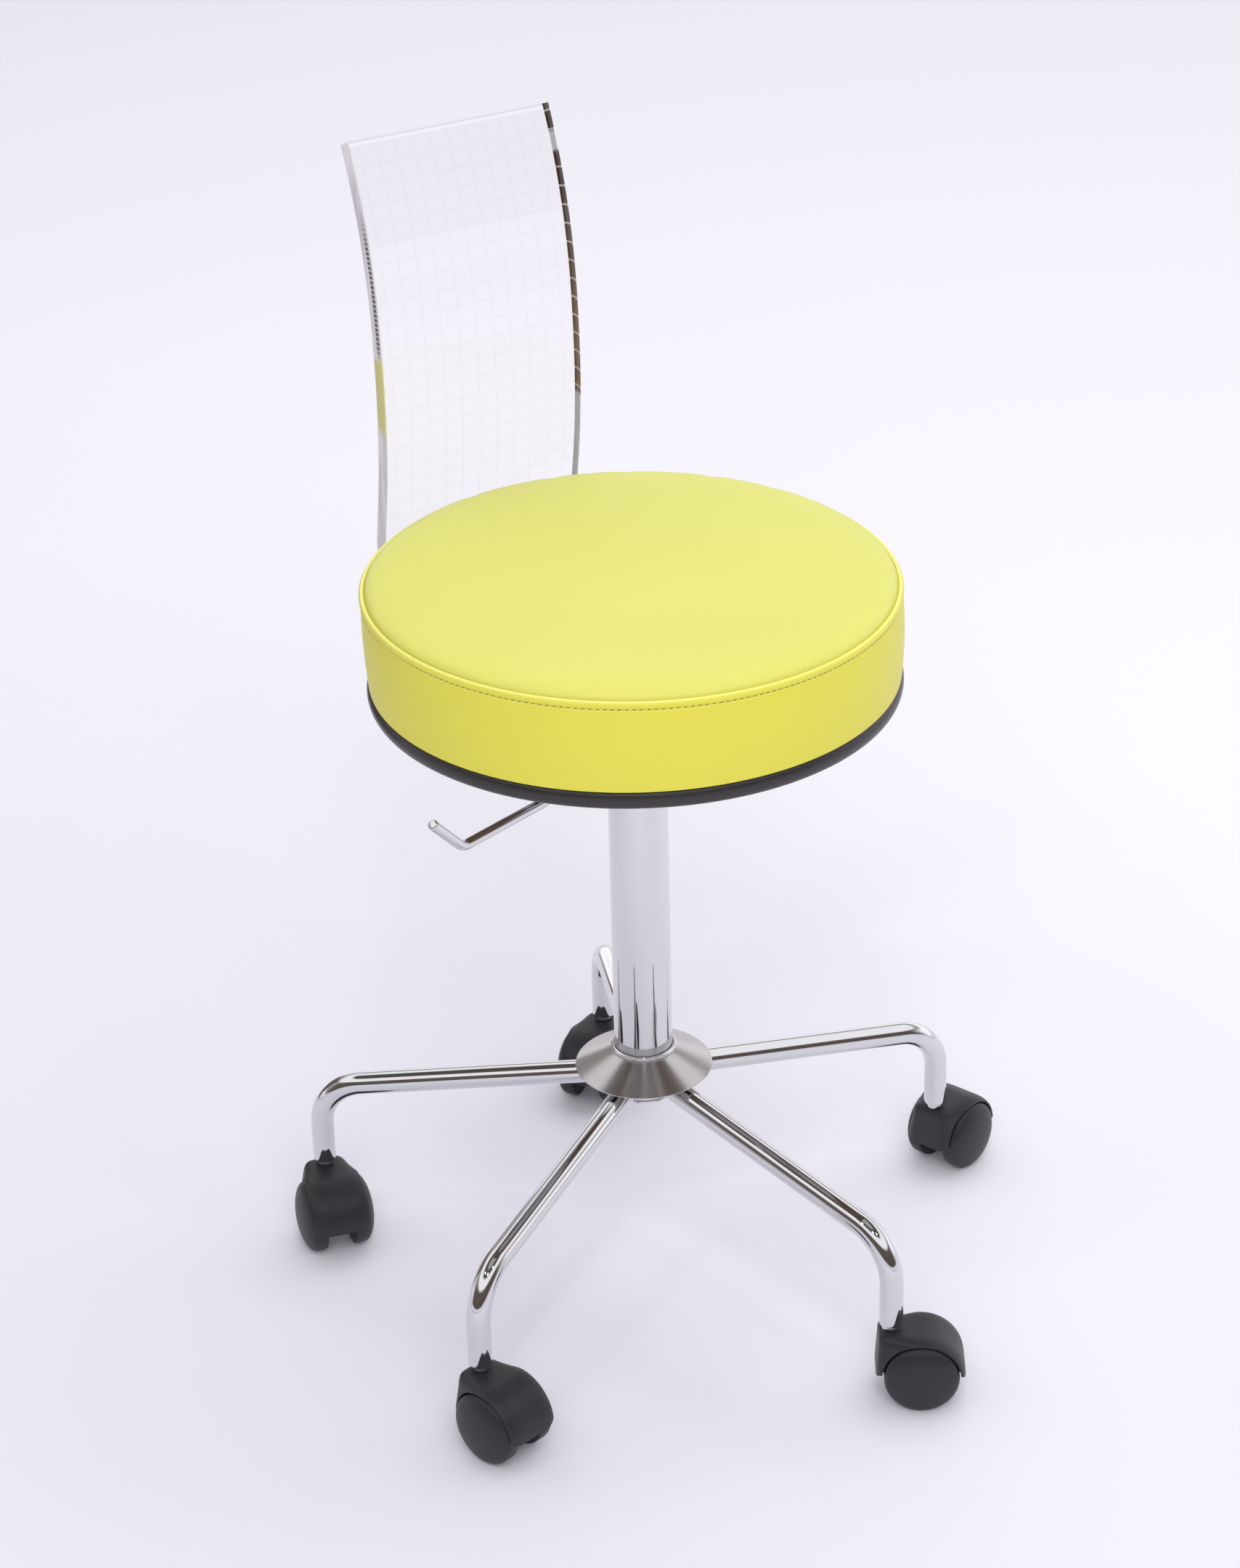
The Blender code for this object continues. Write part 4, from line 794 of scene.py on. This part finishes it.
# The cover is a thin cone with a rolled bead at its neck and a turned-down rim
def makeHub():
    rim, bore, bead, sheet = hub["rim"], hub["bore"], hub["bead"], hub["sheet"]
    foot, neck = hub["rimHeight"], hub["rimHeight"] + hub["rise"]
    angle = np.linspace(math.pi / 2, -math.pi / 2.6, 15)
    roll = np.stack([bore + sheet / 2 + bead * np.cos(angle), neck + bead + bead * np.sin(angle)], 1)
    share = np.linspace(0.08, 1.0, 14)
    slope = np.stack([bore + sheet + (rim - sheet / 2 - bore - sheet) * share, neck - hub["rise"] * share], 1)
    lip = [(rim - 0.0001, foot - 0.0003), (rim, foot - 0.0008), (rim - 0.0004, foot - sheet),
           (rim - sheet, foot - sheet)]
    under = [(bore + sheet, neck - sheet), (bore, neck - sheet), (bore, neck + 2 * bead)]
    cone = raised(np.vstack([roll[-1:], slope, lip, under[:2]]))
    shownTurned("hub_cover_cone", cone, 160, satin, "base", "satin_chrome", "hub_cover")
    neckRing = raised(np.vstack([roll, under[1:]]))
    shownTurned("hub_cover_bead", neckRing, 120, chrome, "base", "satin_chrome")
    inner, outer, low, high = sleeve["inner"], sleeve["outer"], sleeve["low"], sleeve["high"]
    tube = raised(rounded([(inner, high), (outer, high), (outer, low), (inner, low)], 0.0005, 3))
    shownTurned("hub_sleeve_tube", tube, 96, chrome, "base", "chrome", "hub_sleeve")
    plug, radius, shoulder, low, high = (cap[key] for key in ("plug", "radius", "shoulder", "low", "high"))
    stopper = [(0, high), (plug, high), (plug, shoulder), (radius, shoulder), (radius, low), (0, low)]
    stopper = raised(rounded(stopper, 0.0006, 3))
    shownTurned("hub_cap_plug", stopper, 96, chrome, "base", "chrome", "hub_cap", ring=False)


legs = {"radius": 0.008, "reach": 0.232, "hub": 0.1539, "droop": 8.73, "bend": 0.035, "end": 0.0573,
        "turn": 139.85, "count": 5, "start": 0.0205, "weld": 0.0236, "weldHalf": 0.0022, "weldRise": 0.0013}
spokeStep = 360 / legs["count"]


# A straight drooping run, a bend and a short drop, with a softened end and a weld bead at the hub
def makeLegs():
    fall = math.tan(math.radians(legs["droop"]))
    start, reach, weldAt = legs["start"], legs["reach"], legs["weld"]
    corners = [(start, 0, legs["hub"] - start * fall), (reach, 0, legs["hub"] - reach * fall),
               (reach, 0, legs["end"])]
    path = bentPath(corners, legs["bend"], 30, 0.012)
    path = np.vstack([path[:-1], path[-1:] + [0, 0, 0.0006], path[-1:] + [0, 0, 0.0002], path[-1:]])
    radii = np.full(len(path), legs["radius"])
    radii[-2:] -= (0.0001, 0.0006)
    path[:, 2] += floorLevel
    tube = piped("leg_tube", path, radii, 64, chrome)
    down = np.array([1, 0, -fall]) / math.hypot(1, fall)
    share = np.linspace(-1, 1, 9)
    bead = np.array([weldAt, 0, legs["hub"] - weldAt * fall + floorLevel])
    bead = bead + share[:, None] * down * legs["weldHalf"]
    swollen = legs["radius"] - 0.0002 + legs["weldRise"] * np.sqrt(np.maximum(0, 1 - share ** 2))
    weld = piped("leg_weld", bead, swollen, 48, steel)
    for i in range(legs["count"]):
        place = turnedBy(legs["turn"] + spokeStep * i)
        shownCopy(f"leg_tube_{i + 1}", tube, place, "base", "chrome", f"leg_{i + 1}")
        shownCopy(f"leg_weld_{i + 1}", weld, place, "base", "steel")


makeColumn()
makeHub()
makeLegs()
print("base made")


# The lever and the mechanism under the seat point the same way
lever = {"azimuth": 198.8, "height": 0.4379, "radius": 0.0035, "drop": 0.0389, "fillet": 0.012,
         "pivot": 0.030, "inner": -0.006, "crank": (0.0585, 0.0865), "tip": (0.167, 0.192), "tipRise": 0.026,
         "tipRound": 0.0012, "bossBore": 0.0026, "boss": 0.006, "bossHalf": 0.007, "pin": 0.0025,
         "pinHalf": 0.030}
mechanism = turnedBy(lever["azimuth"])


# A rod with a step down and an upturned tip, its end rounded off
def makeLever():
    drop = lever["drop"]
    (crankIn, crankOut), (tipIn, tipOut) = lever["crank"], lever["tip"]
    corners = [(lever["inner"], 0, 0), (crankIn, 0, 0), (crankOut, 0, -drop), (tipIn, 0, -drop),
               (tipOut, 0, lever["tipRise"] - drop)]
    path = bentPath(corners, lever["fillet"], 16, 0.006)
    ahead = (path[-1] - path[-2]) / np.linalg.norm(path[-1] - path[-2])
    share = np.linspace(0, 1, 6)[1:, None]
    path = np.vstack([path, path[-1] + ahead * lever["tipRound"] * np.sin(share * math.pi / 2)])
    radii = np.full(len(path), lever["radius"])
    radii[-5:] -= lever["tipRound"] * (1 - np.cos(share[:, 0] * math.pi / 2))
    path[:, 2] += lever["height"] + floorLevel
    mesh = piped("lever_rod", path, radii, 40, chrome, sharp=60.0, matrix=mechanism)
    shown("lever_rod", mesh, "lever", "chrome", "lever")
    bore, outer, half = lever["bossBore"], lever["boss"], lever["bossHalf"]
    boss = [(bore, -half), (outer, -half), (outer, half), (bore, half)]
    across = mechanism @ Matrix.Translation((lever["pivot"], 0, lever["height"] + floorLevel)) @ alongY
    bossMesh = turned("lever_boss", rounded(boss, 0.0005, 3), 48, steel, ring=True, matrix=across)
    shown("lever_boss", bossMesh, "lever", "steel")
    radius, half = lever["pin"], lever["pinHalf"]
    pin = rounded([(0, -half), (radius, -half), (radius, half), (0, half)], 0.0006, 3)
    pinMesh = turned("lever_pivot_pin", pin, 32, steel, matrix=across)
    shown("lever_pivot_pin", pinMesh, "seat", "steel", "lever_pin")


under = {"plate": 0.140, "plateLow": 0.4474, "plateHigh": 0.4504, "corner": 0.010, "housing": (0.110, 0.056),
         "sheet": 0.0025, "housingLow": 0.4216, "housingHigh": 0.4471, "screwInset": 0.015,
         "screwGap": 0.0003, "screwTip": 0.4597}
socket = {"low": 0.3768, "high": 0.4213, "outer": 0.0183, "lowBore": 0.0143, "highBore": 0.0135}
screw = {"shank": 0.003, "head": 0.0055, "high": 0.004}


# A pan-head screw with a shallow round recess, head down
def screwMesh(name, headLow, tip):
    shank, wide, head = screw["shank"], screw["head"], headLow + screw["high"]
    dome = [(0, tip), (shank, tip), (shank, head), (wide, head), (wide, head - 0.0016),
            (0.0046, headLow + 0.0005), (0.0028, headLow), (0.0020, headLow), (0.0014, headLow + 0.0014),
            (0, headLow + 0.0014)]
    return turned(name, raised(rounded(dome, 0.0004, 3)), 32, steel)


# A folded channel: the section's outline carried along X
def makeHousing():
    half, wide = under["housing"][0] / 2, under["housing"][1] / 2
    low, high, sheet = under["housingLow"], under["housingHigh"], under["sheet"]
    outer = rounded([(-wide, high), (-wide, low), (wide, low), (wide, high)], 0.0035, 6)
    inner = rounded([(wide - sheet, high), (wide - sheet, low + sheet), (-wide + sheet, low + sheet),
                     (-wide + sheet, high)], 0.0012, 4)
    section = np.vstack([outer, inner])
    x = np.array([-half, -half + 0.0003, half - 0.0003, half])[:, None]
    y, z = section[:, 0], section[:, 1] + floorLevel
    points = np.stack([x + y * 0, y + x * 0, z + x * 0], axis=-1)
    mesh = gridMesh("lever_housing_fold", points, [steel], capped=True, matrix=mechanism)
    shown("lever_housing_fold", mesh, "seat", "steel", "lever_housing")


def makeUnderside():
    half = under["plate"] / 2
    plate = slab("seat_plate_steel", (-half, -half, under["plateLow"] + floorLevel),
                 (half, half, under["plateHigh"] + floorLevel), under["corner"], 0.0006, steel, mechanism)
    shown("seat_plate_steel", plate, "seat", "steel", "seat_plate")
    makeHousing()
    outer, low, high = socket["outer"], socket["low"], socket["high"]
    taper = [(socket["highBore"], high), (outer, high), (outer, low), (socket["lowBore"], low)]
    taper = raised(rounded(taper, 0.0008, 3))
    shownTurned("taper_socket_sleeve", taper, 96, steel, "seat", "steel", "taper_socket")
    reach = half - under["screwInset"]
    headLow = under["plateLow"] - under["screwGap"] - screw["high"]
    mesh = screwMesh("seat_screw", headLow, under["screwTip"])
    for i, (x, y) in enumerate([(reach, reach), (-reach, reach), (-reach, -reach), (reach, -reach)]):
        place = mechanism @ Matrix.Translation((x, y, 0))
        shownCopy(f"seat_screw_head_{i + 1}", mesh, place, "seat", "steel", f"seat_screw_{i + 1}")


makeLever()
makeUnderside()
print("mechanism made")


# Casters; local frame has the stem on Z and the axle at +X
caster = {"wheel": 0.025, "axle": 0.02469, "trail": 0.020, "spacing": 0.020, "tread": 0.0075, "dome": 0.0095,
          "gap": 0.0012, "hood": 0.0292, "wide": 0.0386, "noseWide": 0.0345, "rim": 0.0272, "flat": 0.34,
          "fall": 3.6, "lipRise": 0.12, "lipStart": 0.6, "taperStart": 1.6, "taperSpan": 0.9, "front": 0.0302,
          "slope": 0.06, "corner": 16.0, "lip": 0.0235, "web": 0.0094, "webIn": 0.002, "webOut": 0.0266,
          "boss": 0.007, "bore": 0.0033, "pin": 0.003, "pinShort": 0.0006,
          "headings": (-102.0, -74.0, -31.0, 21.0, -139.0)}
stem = {"radius": 0.0055, "collar": 0.0063, "high": 0.0251, "collarHigh": 0.0031, "collarLow": 0.0003,
        "deep": 0.02}
axleAt = (caster["trail"], 0, caster["axle"] + floorLevel)
onAxle = Matrix.Translation(axleAt) @ alongY


# The hood's middle line seen from the side, as distance from the axle: a circle behind the axle, then a level
# top and a sloping front whose corner is rounded by adding high inverse powers
def hoodRidge(angle):
    over = caster["hood"] / np.maximum(np.sin(angle), 0.02)
    front = caster["front"] / np.maximum(caster["slope"] * np.sin(angle) - np.cos(angle), 0.02)
    power = caster["corner"]
    nose = (over ** -power + front ** -power) ** (-1 / power)
    return np.where(angle < math.pi / 2, caster["hood"], nose)


def wellReach(across):
    depth = caster["dome"] + caster["gap"]
    past = np.clip((np.abs(across) - caster["spacing"] / 2 - caster["tread"]) / depth, 0, 0.98)
    return (caster["wheel"] + caster["gap"]) * np.sqrt(1 - past ** 2)


# Points at a distance and an angle from the axle, which lies along Y
def aroundAxle(radius, across, angle):
    return np.stack([caster["trail"] + radius * np.cos(angle), across + angle * 0,
                     caster["axle"] + radius * np.sin(angle) + floorLevel], axis=-1)


# The shell's section across the wheels, outside then inside, carried round the axle; from the ridge it falls
# to the same circle at both edges, so that the nose melts into the barrel; its lip rises towards the edges
def hoodMesh():
    dip = math.asin((caster["axle"] - caster["lip"]) / caster["hood"])
    share = np.sin(np.linspace(-1, 1, 57) * math.pi / 2)[None]
    lipStart = caster["lipStart"]
    lift = caster["lipRise"] * (np.clip(np.abs(share) - lipStart, 0, 1) / (1 - lipStart)) ** 2
    angle = lift - dip + (math.pi + 2 * dip - 2 * lift) * np.linspace(0, 1, 121)[:, None]
    ahead = np.clip((angle - caster["taperStart"]) / caster["taperSpan"], 0, 1)
    width = caster["wide"] / 2 + (caster["noseWide"] - caster["wide"]) / 2 * ahead ** 2 * (3 - 2 * ahead)
    past = np.maximum(np.abs(share) - caster["flat"], 0) / (1 - caster["flat"])
    outer = caster["rim"] + (hoodRidge(angle) - caster["rim"]) * (1 - past ** caster["fall"])
    across = width * share
    outside, inside = (aroundAxle(radius, across, angle) for radius in (outer, wellReach(across)))
    middle = (outside + inside) / 2
    points = np.hstack([outside, inside[:, ::-1]])
    ends = np.hstack([middle, middle[:, ::-1]])
    points = np.vstack([ends[:1], points, ends[-1:]])
    shell = gridMesh("hood", points, [nylon], sharp=46.0)
    angle = np.linspace(-dip, math.pi + dip, 61)[:, None]
    half, near, far, radius = caster["web"], caster["webIn"], caster["webOut"], caster["boss"]
    web = np.array([(near, -half), (far, -half), (far, half), (near, half)])
    points = aroundAxle(web[None, :, 0], web[None, :, 1], angle)
    both = bmesh.new()
    both.from_mesh(shell)
    both.from_mesh(gridMesh("web", points, [nylon], capped=True))
    boss = [(0, -half), (radius, -half), (radius, half), (0, half)]
    both.from_mesh(turned("boss", boss, 40, nylon, matrix=onAxle))
    both.to_mesh(shell)
    both.free()
    return shell


# Domed outer face, tread, chamfered inner edge
def wheelMesh():
    inner, radius, bore = caster["spacing"] / 2, caster["wheel"], caster["bore"]
    outer = inner + caster["tread"]
    angle = np.linspace(math.pi / 2, 0, 27)
    dome = np.stack([radius * np.cos(angle), outer + caster["dome"] * np.sin(angle)], 1)
    rim = [(radius, inner + 0.001), (radius - 0.0003, inner + 0.0003), (radius - 0.001, inner), (bore, inner),
           (bore, outer), (0, outer)]
    return turned("wheel", np.vstack([dome, rim]), 96, nylon, matrix=onAxle)


def stemMesh():
    top = caster["axle"] + caster["hood"]
    radius, collar = stem["radius"], stem["collar"]
    high, low = top + stem["collarHigh"], top + stem["collarLow"]
    head, foot = top + stem["high"], top - stem["deep"]
    line = [(0, head), (radius, head), (radius, high), (collar, high), (collar, low), (radius, low),
            (radius, foot), (0, foot)]
    return turned("stem", raised(rounded(line, 0.0006, 3)), 48, chrome)


def pinMesh():
    radius, end = caster["pin"], caster["spacing"] / 2 + caster["tread"] - caster["pinShort"]
    line = rounded([(0, -end), (radius, -end), (radius, end), (0, end)], 0.0005, 3)
    return turned("pin", line, 32, steel, matrix=onAxle)


def makeCasters():
    hood, wheel, rod, pin = hoodMesh(), wheelMesh(), stemMesh(), pinMesh()
    back = Matrix.Translation([-c for c in axleAt])
    about = Matrix.Translation(axleAt) @ Matrix.Rotation(math.pi, 4, "Z") @ back
    for i, heading in enumerate(caster["headings"]):
        k, body = i + 1, f"caster_{i + 1}"
        spoke = math.radians(legs["turn"] + spokeStep * i)
        place = turnedBy(heading, (legs["reach"] * math.cos(spoke), legs["reach"] * math.sin(spoke), 0))
        shownCopy(f"caster_shell_{k}", hood, place, body, "black_plastic", f"caster_hood_{k}")
        shownCopy(f"caster_pin_{k}", rod, place, body, "chrome", f"caster_stem_{k}")
        shownCopy(f"axle_pin_{k}", pin, place, body, "steel", f"caster_axle_{k}")
        for side, matrix in (("left", place), ("right", place @ about)):
            wheelName = f"wheel_{side}_{k}"
            shownCopy(f"wheel_disc_{side}_{k}", wheel, matrix, wheelName, "black_plastic", wheelName)


makeCasters()
print("casters made")


# CAD pieces that stay get the same finishes
def dressRest():
    finishes = {"chrome": chrome, "black_plastic": nylon, "plywood": ply}
    slots = {row["node"]: row["material_slot"] for row in frame["record"]["subparts"]}
    for name, node in frame["nodes"].items():
        if not node.hide_render:
            node.data.materials.clear()
            node.data.materials.append(finishes.get(slots[name], steel))


dressRest()
